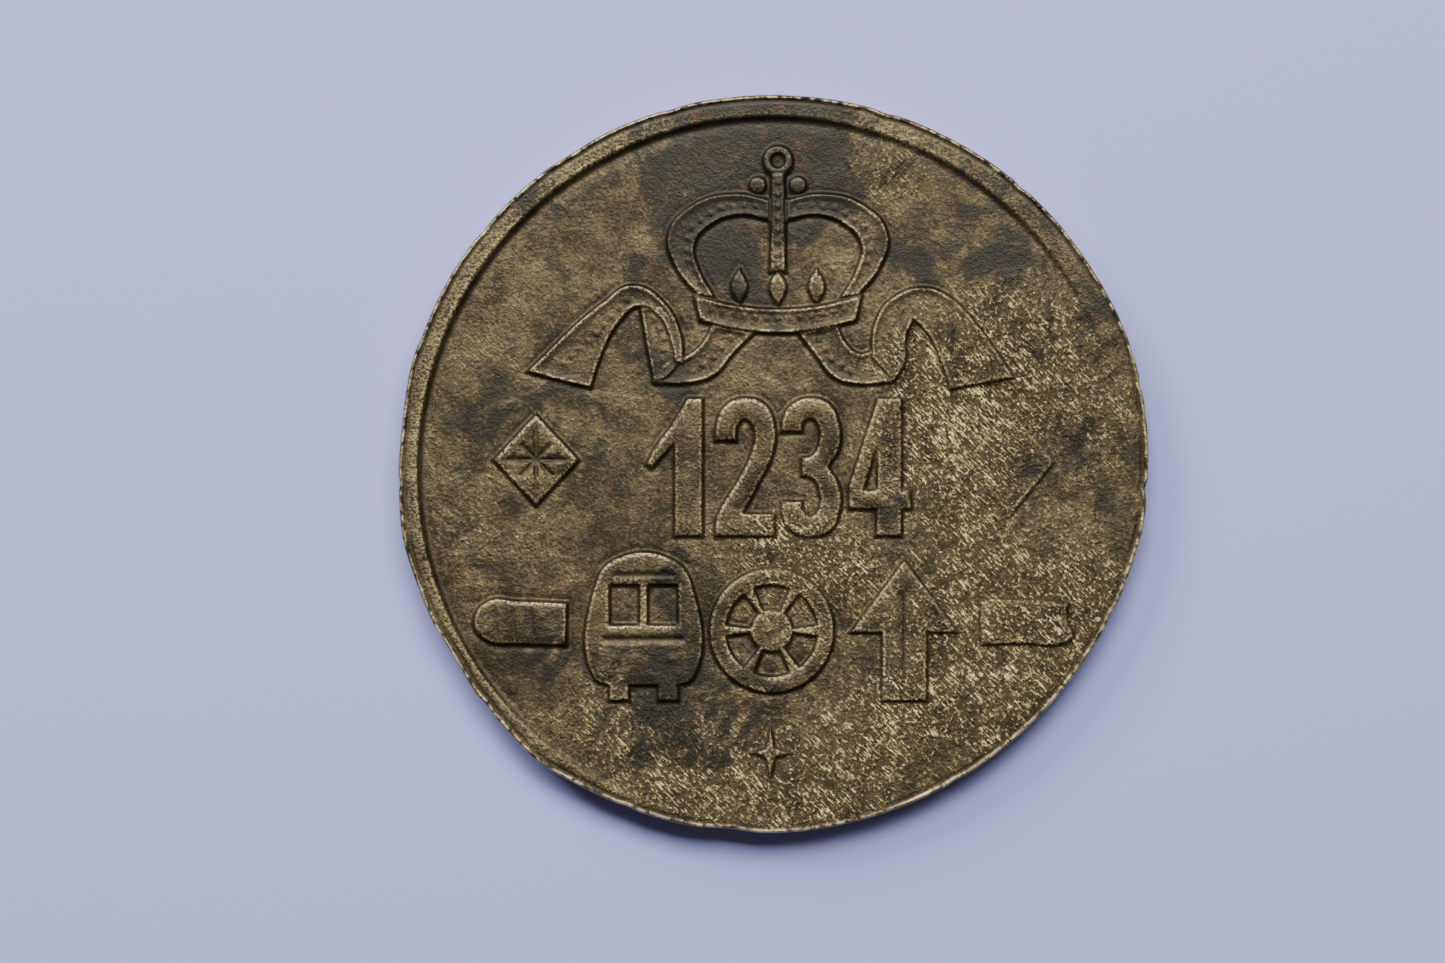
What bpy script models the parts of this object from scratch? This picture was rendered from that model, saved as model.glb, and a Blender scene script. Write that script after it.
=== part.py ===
"""A struck brass token: one blank of sheet brass, squeezed once between two dies.

The token lies on its reverse. The origin is at the middle of the lower face, +Z runs up through the
token and +Y points to the top of the obverse device. Sizes are in metres, written as millimetres * MM.
"""

import math

import bpy
import bmesh
from mathutils import Matrix, Vector

MM = 0.001

# The blank, which was punched by hand and is a little oval and a little three-cornered.
DIAMETER = 29.0 * MM
THICKNESS = 2.0 * MM
EDGE_ROUND = 0.22 * MM
OVAL_SHARE = 0.0105
OVAL_ANGLE = math.radians(18.8)
LOBE_SHARE = 0.0042
LOBE_ANGLE = math.radians(5.7)
BLANK_SIDES = 96

# The rims. The obverse die stood off centre and bit unevenly: its field is level with the reverse, and
# the top of its rim slopes down from the side where the step is deep to the side where it nearly ends.
RIM_WIDTH = 0.83 * MM
RIM_DRAFT = 0.10 * MM
OBVERSE_OFFSET = Vector((-0.07, -0.27)) * MM
OBVERSE_STEP_DEEP = 0.26 * MM
OBVERSE_STEP_SHALLOW = 0.05 * MM
OBVERSE_DEEP_ANGLE = math.radians(140)
REVERSE_OFFSET = Vector((0.12, -0.08)) * MM
REVERSE_STEP = 0.25 * MM
FIELD_SIDES = 72

# The relief. It reaches this far above its field, and its root is sunk below it for a sound union.
# A shape that passes behind another lies one layer lower.
OBVERSE_RELIEF = 0.22 * MM
REVERSE_RELIEF = 0.20 * MM
ROOT_DEPTH = 0.12 * MM
LAYER_DROP = 0.03 * MM
PLATE_CHAMFER = 0.06 * MM
INCISED_WIDTH = 0.16 * MM
INCISED_DEPTH = 0.10 * MM

# The devices are drawn in millimetres about their die's centre, for a field of this radius.
DRAWN_FIELD_RADIUS = 13.67
SHARP = True
CURVE_STEPS = 3
CIRCLE_POINTS = 8
WELD_DISTANCE = 0.002 * MM
SMOOTH_ANGLE = math.radians(30)

CROWN_AXIS_X = 0.24
CROWN_ARM = [
    (0.30, 10.55, SHARP), (1.70, 10.80), (3.35, 10.35), (4.30, 9.20), (4.00, 7.90), (3.15, 6.80, SHARP),
    (2.40, 6.70, SHARP), (3.05, 7.90), (3.20, 8.80), (2.55, 9.55), (1.50, 9.90), (0.30, 9.70, SHARP),
]
CROWN_BAND = [
    (-3.30, 6.85, SHARP), (-1.60, 6.45), (0.00, 6.32), (1.60, 6.45), (3.30, 6.85, SHARP),
    (3.05, 5.80, SHARP), (1.50, 5.45), (0.00, 5.32), (-1.50, 5.45), (-3.05, 5.80, SHARP),
]
CROWN_LEAF_PLACES = [(-1.50, 7.15), (0.00, 7.10), (1.50, 7.15)]
CROWN_LEAF = [(-0.36, 0.00), (0.00, 0.80, SHARP), (0.36, 0.00), (0.00, -0.75, SHARP)]
CROWN_ARCH = [(-0.34, 7.70, SHARP), (0.34, 7.70, SHARP), (0.30, 11.60, SHARP), (-0.30, 11.60, SHARP)]
FINIAL_CENTRE = (0.00, 12.05)
FINIAL_RADIUS = 0.62
FINIAL_HOLE_RADIUS = 0.24
CURL_CENTRE = (0.78, 11.10)
CURL_RADIUS = 0.36

LEFT_RIBBON_HANG = [
    (-0.60, 5.40, SHARP), (-1.45, 4.55), (-2.20, 3.70), (-3.05, 3.40), (-4.50, 3.35, SHARP),
    (-4.20, 4.15), (-3.40, 4.45), (-2.75, 4.95), (-2.30, 5.75, SHARP),
]
LEFT_RIBBON_FOLD = [
    (-5.15, 6.40, SHARP), (-4.95, 5.20), (-4.60, 3.38, SHARP), (-3.95, 3.70), (-3.45, 4.60),
    (-3.60, 5.60), (-4.20, 6.40, SHARP),
]
LEFT_RIBBON_TAIL = [
    (-3.40, 4.10, SHARP), (-3.50, 5.30), (-4.10, 6.50), (-5.40, 7.25), (-6.60, 6.55), (-9.55, 3.85, SHARP),
    (-8.30, 3.50), (-7.00, 3.20, SHARP), (-6.60, 4.45), (-5.90, 5.75), (-5.15, 6.35), (-4.45, 6.00),
    (-3.95, 5.00), (-3.80, 4.20, SHARP),
]
RIGHT_RIBBON_HANG = [
    (0.95, 5.40, SHARP), (1.65, 4.50), (2.40, 3.60), (3.20, 3.35), (4.70, 3.42, SHARP),
    (5.00, 4.10), (4.20, 4.75), (3.40, 4.60), (2.90, 5.00), (2.55, 5.75, SHARP),
]
RIGHT_RIBBON_TAIL = [
    (3.85, 4.40, SHARP), (3.95, 5.70), (4.60, 6.70), (6.00, 7.15), (7.10, 6.65), (8.30, 5.30),
    (9.45, 3.62, SHARP), (8.20, 3.38), (6.92, 3.15, SHARP), (6.55, 4.20), (6.05, 5.30), (5.52, 5.85, SHARP),
    (5.25, 5.20), (5.20, 4.20), (4.75, 3.45, SHARP),
]

# Numerals: each one's outline, then its holes, from the numeral's own lower left corner.
NUMERAL_OUTLINES = {
    "1": [
        [(1.10, 0.00, SHARP), (2.28, 0.00, SHARP), (2.28, 5.42, SHARP), (1.62, 5.42, SHARP), (1.02, 4.40),
         (0.38, 3.52), (0.00, 2.80, SHARP), (0.26, 2.62, SHARP), (1.10, 3.55, SHARP)],
    ],
    "2": [
        [(0.00, 0.00, SHARP), (2.36, 0.00, SHARP), (2.36, 0.94, SHARP), (1.16, 0.94, SHARP), (1.80, 2.15),
         (2.30, 3.20), (2.38, 4.35), (1.98, 5.18), (1.20, 5.44), (0.44, 5.18), (0.02, 4.40),
         (0.00, 3.70, SHARP), (0.88, 3.70, SHARP), (0.94, 4.30), (1.20, 4.52), (1.46, 4.25), (1.40, 3.35),
         (0.92, 2.30), (0.24, 1.20), (0.00, 0.60)],
    ],
    "3": [
        [(0.00, 1.42, SHARP), (0.05, 0.76), (0.44, 0.18), (1.18, -0.03), (1.94, 0.20), (2.34, 0.98),
         (2.32, 2.00), (1.90, 2.72, SHARP), (2.32, 3.46), (2.30, 4.48), (1.90, 5.22), (1.18, 5.44),
         (0.44, 5.20), (0.04, 4.60), (0.00, 4.05, SHARP), (0.86, 4.05, SHARP), (0.94, 4.42), (1.18, 4.56),
         (1.42, 4.32), (1.42, 3.60), (1.20, 3.20), (0.78, 3.12, SHARP), (0.78, 2.34, SHARP), (1.22, 2.22),
         (1.46, 1.78), (1.44, 1.12), (1.18, 0.86), (0.92, 1.06), (0.88, 1.42, SHARP)],
    ],
    "4": [
        [(1.06, 0.00, SHARP), (2.12, 0.00, SHARP), (2.12, 1.05, SHARP), (2.49, 1.05, SHARP),
         (2.49, 1.85, SHARP), (2.12, 1.85, SHARP), (2.12, 5.42, SHARP), (1.12, 5.42, SHARP),
         (0.00, 1.98, SHARP), (0.00, 1.05, SHARP), (1.06, 1.05, SHARP)],
        [(0.66, 1.85, SHARP), (1.10, 1.85, SHARP), (1.10, 3.30, SHARP)],
    ],
}
OBVERSE_NUMERALS = [("1", -4.92), ("2", -2.22), ("3", 0.34), ("4", 2.96)]
OBVERSE_NUMERAL_BASE = -2.56
REVERSE_NUMERAL = [("1", -2.30)]
REVERSE_NUMERAL_BASE = -4.20
REVERSE_NUMERAL_SCALE = 1.55

# Three plain emblems: a tram seen from the front, a spoked wheel and an arrow.
TRAM_BODY = [
    (-6.90, -8.10), (-6.95, -4.60), (-6.20, -3.45), (-3.75, -3.45), (-3.00, -4.60), (-3.05, -8.10),
    (-3.60, -8.35, SHARP), (-3.60, -8.95, SHARP), (-4.45, -8.95, SHARP), (-4.45, -8.35, SHARP),
    (-5.50, -8.35, SHARP), (-5.50, -8.95, SHARP), (-6.35, -8.95, SHARP), (-6.35, -8.35, SHARP),
]
TRAM_WINDOW_SIZE = (1.10, 1.50)
TRAM_WINDOW_CENTRES = [(-5.72, -5.20), (-4.23, -5.20)]
WHEEL_CENTRE = (0.00, -6.20)
WHEEL_RADIUS = 2.45
WHEEL_SPOKES = 6
WHEEL_HOLE_HALF_ANGLE = math.radians(22)
WHEEL_HOLE_RADII = (0.85, 1.75)
ARROW = [
    (5.15, -3.40, SHARP), (7.30, -6.30, SHARP), (6.05, -6.30, SHARP), (6.05, -8.95, SHARP),
    (4.25, -8.95, SHARP), (4.25, -6.30, SHARP), (3.00, -6.30, SHARP),
]

LEFT_BAR = [
    (-11.60, -5.90), (-11.10, -5.05), (-9.80, -5.02), (-7.92, -5.10, SHARP), (-7.95, -6.80, SHARP),
    (-9.80, -6.75), (-11.10, -6.60),
]
RIGHT_BAR = [
    (8.05, -4.95, SHARP), (10.00, -4.98), (11.55, -5.10, SHARP), (11.50, -5.80), (11.70, -6.45),
    (11.20, -6.75), (9.80, -6.72), (8.10, -6.78, SHARP),
]
RHOMBUS_CENTRE = (-9.15, 0.43)
RHOMBUS_HALF = (1.70, 1.82)
RHOMBUS_RAY_LENGTH = 1.05
RHOMBUS_RAY_TIP_SHARE = 0.2
RHOMBUS_RAYS = 8
STAR_CENTRE = (-0.05, -10.95)
STAR_HALF = (0.85, 1.10)
STAR_WAIST = 0.30

# The reverse wreath: leaves in pairs along two arcs that start at the bottom.
WREATH_RADIUS = 9.60
WREATH_PAIRS = 8
WREATH_START = math.radians(-78)
WREATH_SPAN = math.radians(140)
WREATH_LEAF_LENGTH = 2.70
WREATH_LEAF_WIDTH = 1.05
WREATH_LEAF_SPREAD = math.radians(34)
WREATH_LEAF_OFFSET = 0.95
STEM_HALF_WIDTH = 0.20
STEM_LAYER = 1

BRASS_COLOUR = (0.145, 0.112, 0.058, 1.0)
BRASS_ROUGHNESS = 0.42

field_radius = DIAMETER / 2 - RIM_WIDTH
drawn_mm = field_radius / DRAWN_FIELD_RADIUS


def clear_scene():
    for obj in list(bpy.data.objects):
        bpy.data.objects.remove(obj)


def new_collection(name):
    collection = bpy.data.collections.new(name)
    bpy.context.scene.collection.children.link(collection)
    return collection


def add_tool(name, mesh, collection):
    """A helper object that a Boolean reads and that is no part of the token."""
    obj = bpy.data.objects.new(name, mesh)
    collection.objects.link(obj)
    obj.hide_render = True
    obj.display_type = "WIRE"
    return obj


def mesh_from_bmesh(name, bm):
    bmesh.ops.recalc_face_normals(bm, faces=bm.faces)
    mesh = bpy.data.meshes.new(name)
    bm.to_mesh(mesh)
    bm.free()
    mesh.shade_smooth()
    mesh.set_sharp_from_angle(angle=SMOOTH_ANGLE)
    return mesh


def blank_radius(angle):
    oval = OVAL_SHARE * math.cos(2 * (angle - OVAL_ANGLE))
    lobes = LOBE_SHARE * math.cos(3 * (angle - LOBE_ANGLE))
    return DIAMETER / 2 * (1 + oval + lobes)


def ring_stack(name, rings, sides):
    """A closed solid from rings, lowest first. Each ring is a function from an angle to a point."""
    bm = bmesh.new()
    angles = [2 * math.pi * i / sides for i in range(sides)]
    rows = [[bm.verts.new(ring(angle)) for angle in angles] for ring in rings]
    for lower, upper in zip(rows, rows[1:]):
        for i in range(sides):
            j = (i + 1) % sides
            bm.faces.new((lower[i], lower[j], upper[j], upper[i]))
    bm.faces.new(reversed(rows[0]))
    bm.faces.new(rows[-1])
    return mesh_from_bmesh(name, bm)


def blank_ring(inset, height, drop=0.0):
    """One ring of the blank. It sinks by the drop from the obverse step's deep side to its shallow side."""

    def point(angle):
        radius = blank_radius(angle) - inset
        across = radius * math.cos(angle - OBVERSE_DEEP_ANGLE) / (DIAMETER / 2 - EDGE_ROUND)
        return Vector((radius * math.cos(angle), radius * math.sin(angle), height - drop * (1 - across) / 2))

    return point


def blank_centre():
    """The middle of the blank's outline, so that the origin is the middle of its box."""
    angles = [2 * math.pi * i / BLANK_SIDES for i in range(BLANK_SIDES)]
    points = [blank_ring(0, 0)(angle) for angle in angles]
    xs = [p.x for p in points]
    ys = [p.y for p in points]
    return Vector(((min(xs) + max(xs)) / 2, (min(ys) + max(ys)) / 2))


def make_blank():
    corner = EDGE_ROUND * (1 - math.sqrt(0.5))
    drop = OBVERSE_STEP_DEEP - OBVERSE_STEP_SHALLOW
    rings = [
        blank_ring(EDGE_ROUND, 0),
        blank_ring(corner, corner),
        blank_ring(0, EDGE_ROUND),
        blank_ring(0, THICKNESS - EDGE_ROUND, drop),
        blank_ring(corner, THICKNESS - corner, drop),
        blank_ring(EDGE_ROUND, THICKNESS, drop),
    ]
    mesh = ring_stack("struck_disc", rings, BLANK_SIDES)
    centre = blank_centre()
    mesh.transform(Matrix.Translation((-centre.x, -centre.y, 0)))
    blank = bpy.data.objects.new("struck_disc", mesh)
    bpy.context.scene.collection.objects.link(blank)
    return blank


def field_cutter(name, collection, reach):
    """A dished cutter whose face is the field. It opens upwards past the rim by its reach."""

    def ring(radius, height):
        return lambda angle: Vector((radius * math.cos(angle), radius * math.sin(angle), height))

    rings = [ring(field_radius, 0), ring(field_radius + RIM_DRAFT * reach / OBVERSE_STEP_DEEP, reach)]
    return add_tool(name, ring_stack(name, rings, FIELD_SIDES), collection)


def obverse_frame():
    """From the obverse die's drawing plane to the token."""
    return Matrix.Translation((OBVERSE_OFFSET.x, OBVERSE_OFFSET.y, THICKNESS - OBVERSE_STEP_DEEP))


def reverse_frame():
    """From the reverse die's drawing plane to the token, turned over about the upright axis."""
    turned_over = Matrix.Diagonal((-1, 1, -1, 1))
    return Matrix.Translation((REVERSE_OFFSET.x, REVERSE_OFFSET.y, REVERSE_STEP)) @ turned_over


def drawn(x, y):
    return Vector((x, y, 0)) * drawn_mm


def add_spline(curve, points):
    """A closed outline: smooth through its points, with a corner at each SHARP one."""
    spline = curve.splines.new("BEZIER")
    spline.bezier_points.add(len(points) - 1)
    spline.use_cyclic_u = True
    spline.resolution_u = CURVE_STEPS
    for bezier, point in zip(spline.bezier_points, points):
        bezier.co = drawn(point[0], point[1])
        handle = "VECTOR" if len(point) == 3 else "AUTO"
        bezier.handle_left_type = handle
        bezier.handle_right_type = handle


def evaluated_mesh(name, curve):
    """The mesh that Blender makes of a curve, with its caps joined to its sides."""
    source = bpy.data.objects.new(name + "_curve", curve)
    bpy.context.scene.collection.objects.link(source)
    graph = bpy.context.evaluated_depsgraph_get()
    mesh = bpy.data.meshes.new_from_object(source.evaluated_get(graph))
    bpy.data.objects.remove(source)
    bm = bmesh.new()
    bm.from_mesh(mesh)
    bmesh.ops.remove_doubles(bm, verts=bm.verts, dist=WELD_DISTANCE)
    return mesh_from_bmesh(name, bm)


def plate(name, outlines, relief, frame, collection, layer=0):
    """A flat boss with a chamfered edge. Later outlines are holes in the first."""
    top = relief - layer * LAYER_DROP
    root = layer * LAYER_DROP - ROOT_DEPTH
    curve = bpy.data.curves.new(name, "CURVE")
    curve.dimensions = "2D"
    curve.fill_mode = "BOTH"
    curve.extrude = (top - root) / 2 - PLATE_CHAMFER
    curve.bevel_depth = PLATE_CHAMFER
    curve.bevel_resolution = 0
    curve.offset = -PLATE_CHAMFER
    for outline in outlines:
        add_spline(curve, outline)
    mesh = evaluated_mesh(name, curve)
    mesh.transform(frame @ Matrix.Translation((0, 0, (top + root) / 2)))
    return add_tool(name, mesh, collection)


def circle_outline(centre, radius):
    angles = [2 * math.pi * i / CIRCLE_POINTS for i in range(CIRCLE_POINTS)]
    return [(centre[0] + radius * math.cos(a), centre[1] + radius * math.sin(a)) for a in angles]


def box_outline(centre, size):
    half = (size[0] / 2, size[1] / 2)
    signs = [(-1, -1), (1, -1), (1, 1), (-1, 1)]
    return [(centre[0] + half[0] * sx, centre[1] + half[1] * sy, SHARP) for sx, sy in signs]


def shifted(points, dx, dy=0.0):
    return [(x + dx, y + dy, *rest) for x, y, *rest in points]


def mirrored(points):
    return [(-x, y, *rest) for x, y, *rest in points]


def make_crown(frame, collection):
    def crown_plate(name, layer, *outlines):
        moved = [shifted(outline, CROWN_AXIS_X) for outline in outlines]
        plate(name, moved, OBVERSE_RELIEF, frame, collection, layer)

    crown_plate("crown_band", 0, CROWN_BAND)
    crown_plate("crown_arch", 0, CROWN_ARCH)
    crown_plate("crown_arm_right", 1, CROWN_ARM)
    crown_plate("crown_arm_left", 1, mirrored(CROWN_ARM))
    finial = circle_outline(FINIAL_CENTRE, FINIAL_RADIUS)
    finial_hole = circle_outline(FINIAL_CENTRE, FINIAL_HOLE_RADIUS)
    crown_plate("crown_finial", 1, finial, finial_hole)
    for side in (-1, 1):
        centre = (side * CURL_CENTRE[0], CURL_CENTRE[1])
        crown_plate(f"crown_curl_{side}", 2, circle_outline(centre, CURL_RADIUS))
    for i, (x, y) in enumerate(CROWN_LEAF_PLACES):
        crown_plate(f"crown_leaf_{i}", 2, shifted(CROWN_LEAF, x, y))


def make_ribbons(frame, collection):
    ribbons = [
        ("left_ribbon_tail", LEFT_RIBBON_TAIL, 0),
        ("right_ribbon_tail", RIGHT_RIBBON_TAIL, 0),
        ("left_ribbon_fold", LEFT_RIBBON_FOLD, 1),
        ("left_ribbon_hang", LEFT_RIBBON_HANG, 2),
        ("right_ribbon_hang", RIGHT_RIBBON_HANG, 2),
    ]
    for name, outline, layer in ribbons:
        plate(name, [outline], OBVERSE_RELIEF, frame, collection, layer)


def make_numerals(numerals, base, scale, relief, frame, collection):
    for numeral, left in numerals:
        outlines = []
        for outline in NUMERAL_OUTLINES[numeral]:
            outlines.append([(left + x * scale, base + y * scale, *corner) for x, y, *corner in outline])
        plate(f"numeral_{numeral}", outlines, relief, frame, collection)


def wheel_hole(index):
    """One gap between two spokes, as a sector of a ring."""
    middle = 2 * math.pi * (index + 0.5) / WHEEL_SPOKES
    inner, outer = WHEEL_HOLE_RADII
    corners = [(inner, -1), (outer, -1), (outer, 0), (outer, 1), (inner, 1)]
    hole = []
    for radius, side in corners:
        angle = middle + side * WHEEL_HOLE_HALF_ANGLE
        x = WHEEL_CENTRE[0] + radius * math.cos(angle)
        y = WHEEL_CENTRE[1] + radius * math.sin(angle)
        hole.append((x, y, SHARP) if side else (x, y))
    return hole


def make_emblems(frame, collection):
    windows = [box_outline(centre, TRAM_WINDOW_SIZE) for centre in TRAM_WINDOW_CENTRES]
    plate("tram", [TRAM_BODY, *windows], OBVERSE_RELIEF, frame, collection)
    gaps = [wheel_hole(i) for i in range(WHEEL_SPOKES)]
    rim = circle_outline(WHEEL_CENTRE, WHEEL_RADIUS)
    plate("wheel", [rim, *gaps], OBVERSE_RELIEF, frame, collection)
    plate("arrow", [ARROW], OBVERSE_RELIEF, frame, collection)


def make_ornaments(frame, collection):
    plate("left_bar", [LEFT_BAR], OBVERSE_RELIEF, frame, collection)
    plate("right_bar", [RIGHT_BAR], OBVERSE_RELIEF, frame, collection)
    cx, cy = RHOMBUS_CENTRE
    wide, tall = RHOMBUS_HALF
    corners = [(cx + wide, cy), (cx, cy + tall), (cx - wide, cy), (cx, cy - tall)]
    plate("rhombus", [[(x, y, SHARP) for x, y in corners]], OBVERSE_RELIEF, frame, collection)
    plate("star", [star_outline()], OBVERSE_RELIEF, frame, collection)


def star_outline():
    """Four tips with a narrow waist between each two."""
    outline = []
    for quarter in range(4):
        tip = math.radians(90) * quarter
        waist = tip + math.radians(45)
        x, y = STAR_CENTRE
        outline.append((x + STAR_HALF[0] * math.cos(tip), y + STAR_HALF[1] * math.sin(tip), SHARP))
        outline.append((x + STAR_WAIST * math.cos(waist), y + STAR_WAIST * math.sin(waist), SHARP))
    return outline


def make_rhombus_rays(frame, collection):
    """Wedge cutters, each a pair of opposite rays, that incise a star in the rhombus."""
    length = RHOMBUS_RAY_LENGTH * drawn_mm
    top = OBVERSE_RELIEF + INCISED_DEPTH
    root = OBVERSE_RELIEF - INCISED_DEPTH
    pairs = RHOMBUS_RAYS // 2
    for i in range(pairs):
        bm = bmesh.new()
        rows = []
        for x, share in ((-length, RHOMBUS_RAY_TIP_SHARE), (0, 1), (length, RHOMBUS_RAY_TIP_SHARE)):
            half = INCISED_WIDTH * share
            rows.append([bm.verts.new(point) for point in ((x, -half, top), (x, half, top), (x, 0, root))])
        for near, far in zip(rows, rows[1:]):
            for a, b in ((0, 1), (1, 2), (2, 0)):
                bm.faces.new((near[a], near[b], far[b], far[a]))
        bm.faces.new(rows[0])
        bm.faces.new(rows[-1])
        mesh = mesh_from_bmesh(f"rhombus_ray_{i}", bm)
        turn = Matrix.Rotation(math.pi * i / pairs, 4, "Z")
        mesh.transform(frame @ Matrix.Translation(drawn(*RHOMBUS_CENTRE)) @ turn)
        add_tool(f"rhombus_ray_{i}", mesh, collection)


def leaf_outline(centre, angle):
    """A pointed leaf about its centre, lying along the angle."""
    half_length = WREATH_LEAF_LENGTH / 2
    half_width = WREATH_LEAF_WIDTH / 2
    shape = [(half_length, 0, SHARP), (0, half_width), (-half_length, 0, SHARP), (0, -half_width)]
    cos, sin = math.cos(angle), math.sin(angle)
    return [(centre[0] + x * cos - y * sin, centre[1] + x * sin + y * cos, *rest) for x, y, *rest in shape]


def make_wreath(frame, collection):
    step = WREATH_SPAN / WREATH_PAIRS
    for i in range(WREATH_PAIRS):
        angle = WREATH_START + step * (i + 0.5)
        for side in (-1, 1):
            radius = WREATH_RADIUS + side * WREATH_LEAF_OFFSET
            centre = (radius * math.cos(angle), radius * math.sin(angle))
            leaf = leaf_outline(centre, angle + math.pi / 2 - side * WREATH_LEAF_SPREAD)
            plate(f"leaf_right_{i}_{side}", [leaf], REVERSE_RELIEF, frame, collection)
            plate(f"leaf_left_{i}_{side}", [mirrored(leaf)], REVERSE_RELIEF, frame, collection)
    angles = [WREATH_START + step * i for i in range(WREATH_PAIRS + 1)]
    stem = []
    for edge_radius, edge in (
        (WREATH_RADIUS + STEM_HALF_WIDTH, angles),
        (WREATH_RADIUS - STEM_HALF_WIDTH, angles[::-1]),
    ):
        for angle in edge:
            corner = [SHARP] if angle in (angles[0], angles[-1]) else []
            stem.append((edge_radius * math.cos(angle), edge_radius * math.sin(angle), *corner))
    plate("stem_right", [stem], REVERSE_RELIEF, frame, collection, STEM_LAYER)
    plate("stem_left", [mirrored(stem)], REVERSE_RELIEF, frame, collection, STEM_LAYER)


def add_boolean(obj, name, operation, collection):
    modifier = obj.modifiers.new(name, "BOOLEAN")
    modifier.operation = operation
    modifier.solver = "EXACT"
    modifier.operand_type = "COLLECTION"
    modifier.collection = collection
    modifier.use_self = operation == "UNION"


def brass():
    material = bpy.data.materials.new("tarnished_brass")
    material.use_nodes = True
    shader = material.node_tree.nodes["Principled BSDF"]
    shader.inputs["Base Color"].default_value = BRASS_COLOUR
    shader.inputs["Metallic"].default_value = 1.0
    shader.inputs["Roughness"].default_value = BRASS_ROUGHNESS
    return material


def main():
    clear_scene()
    fields = new_collection("field_cutters")
    relief = new_collection("relief")
    incised = new_collection("incised_lines")

    obverse = obverse_frame()
    reverse = reverse_frame()
    reach = 2 * OBVERSE_STEP_DEEP
    field_cutter("obverse_field", fields, reach).data.transform(obverse)
    field_cutter("reverse_field", fields, reach).data.transform(reverse)

    make_crown(obverse, relief)
    make_ribbons(obverse, relief)
    make_numerals(OBVERSE_NUMERALS, OBVERSE_NUMERAL_BASE, 1.0, OBVERSE_RELIEF, obverse, relief)
    make_emblems(obverse, relief)
    make_ornaments(obverse, relief)
    make_rhombus_rays(obverse, incised)
    make_wreath(reverse, relief)
    make_numerals(REVERSE_NUMERAL, REVERSE_NUMERAL_BASE, REVERSE_NUMERAL_SCALE, REVERSE_RELIEF, reverse, relief)

    token = make_blank()
    token.data.materials.append(brass())
    add_boolean(token, "sink the fields", "DIFFERENCE", fields)
    add_boolean(token, "raise the relief", "UNION", relief)
    add_boolean(token, "incise the rays", "DIFFERENCE", incised)


main()
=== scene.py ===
"""A worn brass token on a plain studio floor, laid out as an add-on and run as a script.

The token is one struck piece. Its two faces are drawn as flat outlines in millimetres about each die's
centre, and the metal is then raised inside them. All object data is in metres.
"""

import math
from dataclasses import dataclass

import bpy
import bmesh
import numpy as np
from bpy.props import FloatProperty, FloatVectorProperty, IntProperty, PointerProperty
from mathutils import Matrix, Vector
from mathutils.geometry import delaunay_2d_cdt
from mathutils.kdtree import KDTree


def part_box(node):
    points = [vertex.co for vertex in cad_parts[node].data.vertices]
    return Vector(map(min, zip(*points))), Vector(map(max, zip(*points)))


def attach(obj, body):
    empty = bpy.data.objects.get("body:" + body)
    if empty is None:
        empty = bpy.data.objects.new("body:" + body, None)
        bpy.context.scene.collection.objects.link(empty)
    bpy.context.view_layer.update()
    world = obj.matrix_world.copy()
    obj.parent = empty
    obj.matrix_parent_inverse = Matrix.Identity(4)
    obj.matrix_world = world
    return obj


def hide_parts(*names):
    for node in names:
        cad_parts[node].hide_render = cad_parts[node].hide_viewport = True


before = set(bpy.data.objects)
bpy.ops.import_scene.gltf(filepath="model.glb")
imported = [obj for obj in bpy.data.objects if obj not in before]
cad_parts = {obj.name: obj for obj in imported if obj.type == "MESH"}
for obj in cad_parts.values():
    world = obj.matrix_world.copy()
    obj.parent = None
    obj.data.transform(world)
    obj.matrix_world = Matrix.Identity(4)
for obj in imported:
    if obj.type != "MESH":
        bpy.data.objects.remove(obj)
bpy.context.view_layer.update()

bl_info = {
    "name": "Struck Brass Token",
    "version": (1, 0, 0),
    "blender": (4, 5, 0),
    "location": "View3D > Sidebar > Token",
    "description": "Builds a tarnished struck brass token and the stage it lies on",
    "category": "Add Mesh",
}

MM = 0.001
DISC_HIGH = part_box("struck_disc")[1]


def hex_colour(code):
    """An sRGB hex colour as linear numbers."""
    channels = [int(code[i : i + 2], 16) / 255 for i in (1, 3, 5)]
    return tuple(c / 12.92 if c <= 0.04045 else ((c + 0.055) / 1.055) ** 2.4 for c in channels)


def add_node(tree, kind, inputs=None, output=0, **settings):
    """Adds a node with its settings, fills or links its inputs, and gives back one of its outputs."""
    node = tree.nodes.new(kind)
    for name, value in settings.items():
        setattr(node, name, value)
    for key, value in (inputs or {}).items():
        for source in value if isinstance(value, list) else [value]:
            if isinstance(source, bpy.types.NodeSocket):
                tree.links.new(source, node.inputs[key])
            else:
                node.inputs[key].default_value = source
    return node.outputs[output] if len(node.outputs) else None


def new_tree(name, inputs):
    """A geometry nodes tree with the named inputs, and those inputs by name."""
    tree = bpy.data.node_groups.new(name, "GeometryNodeTree")
    for label, kind in inputs.items():
        tree.interface.new_socket(label, in_out="INPUT", socket_type="NodeSocket" + kind)
    tree.interface.new_socket("Geometry", in_out="OUTPUT", socket_type="NodeSocketGeometry")
    return tree, tree.nodes.new("NodeGroupInput").outputs


def end_tree(tree, geometry, material=None):
    """Ends a geometry nodes tree: real geometry, with its material set."""
    real = add_node(tree, "GeometryNodeRealizeInstances", {0: geometry})
    done = add_node(tree, "GeometryNodeSetMaterial", {0: real, "Material": material})
    add_node(tree, "NodeGroupOutput", {0: done})
    return tree


def add_nodes_modifier(obj, tree, values):
    """Puts the tree on the object, with its inputs set by their identifiers."""
    modifier = obj.modifiers.new(tree.name, "NODES")
    modifier.node_group = tree
    for item in tree.interface.items_tree:
        if item.item_type == "SOCKET" and item.in_out == "INPUT" and item.name in values:
            modifier[item.identifier] = values[item.name]


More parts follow.
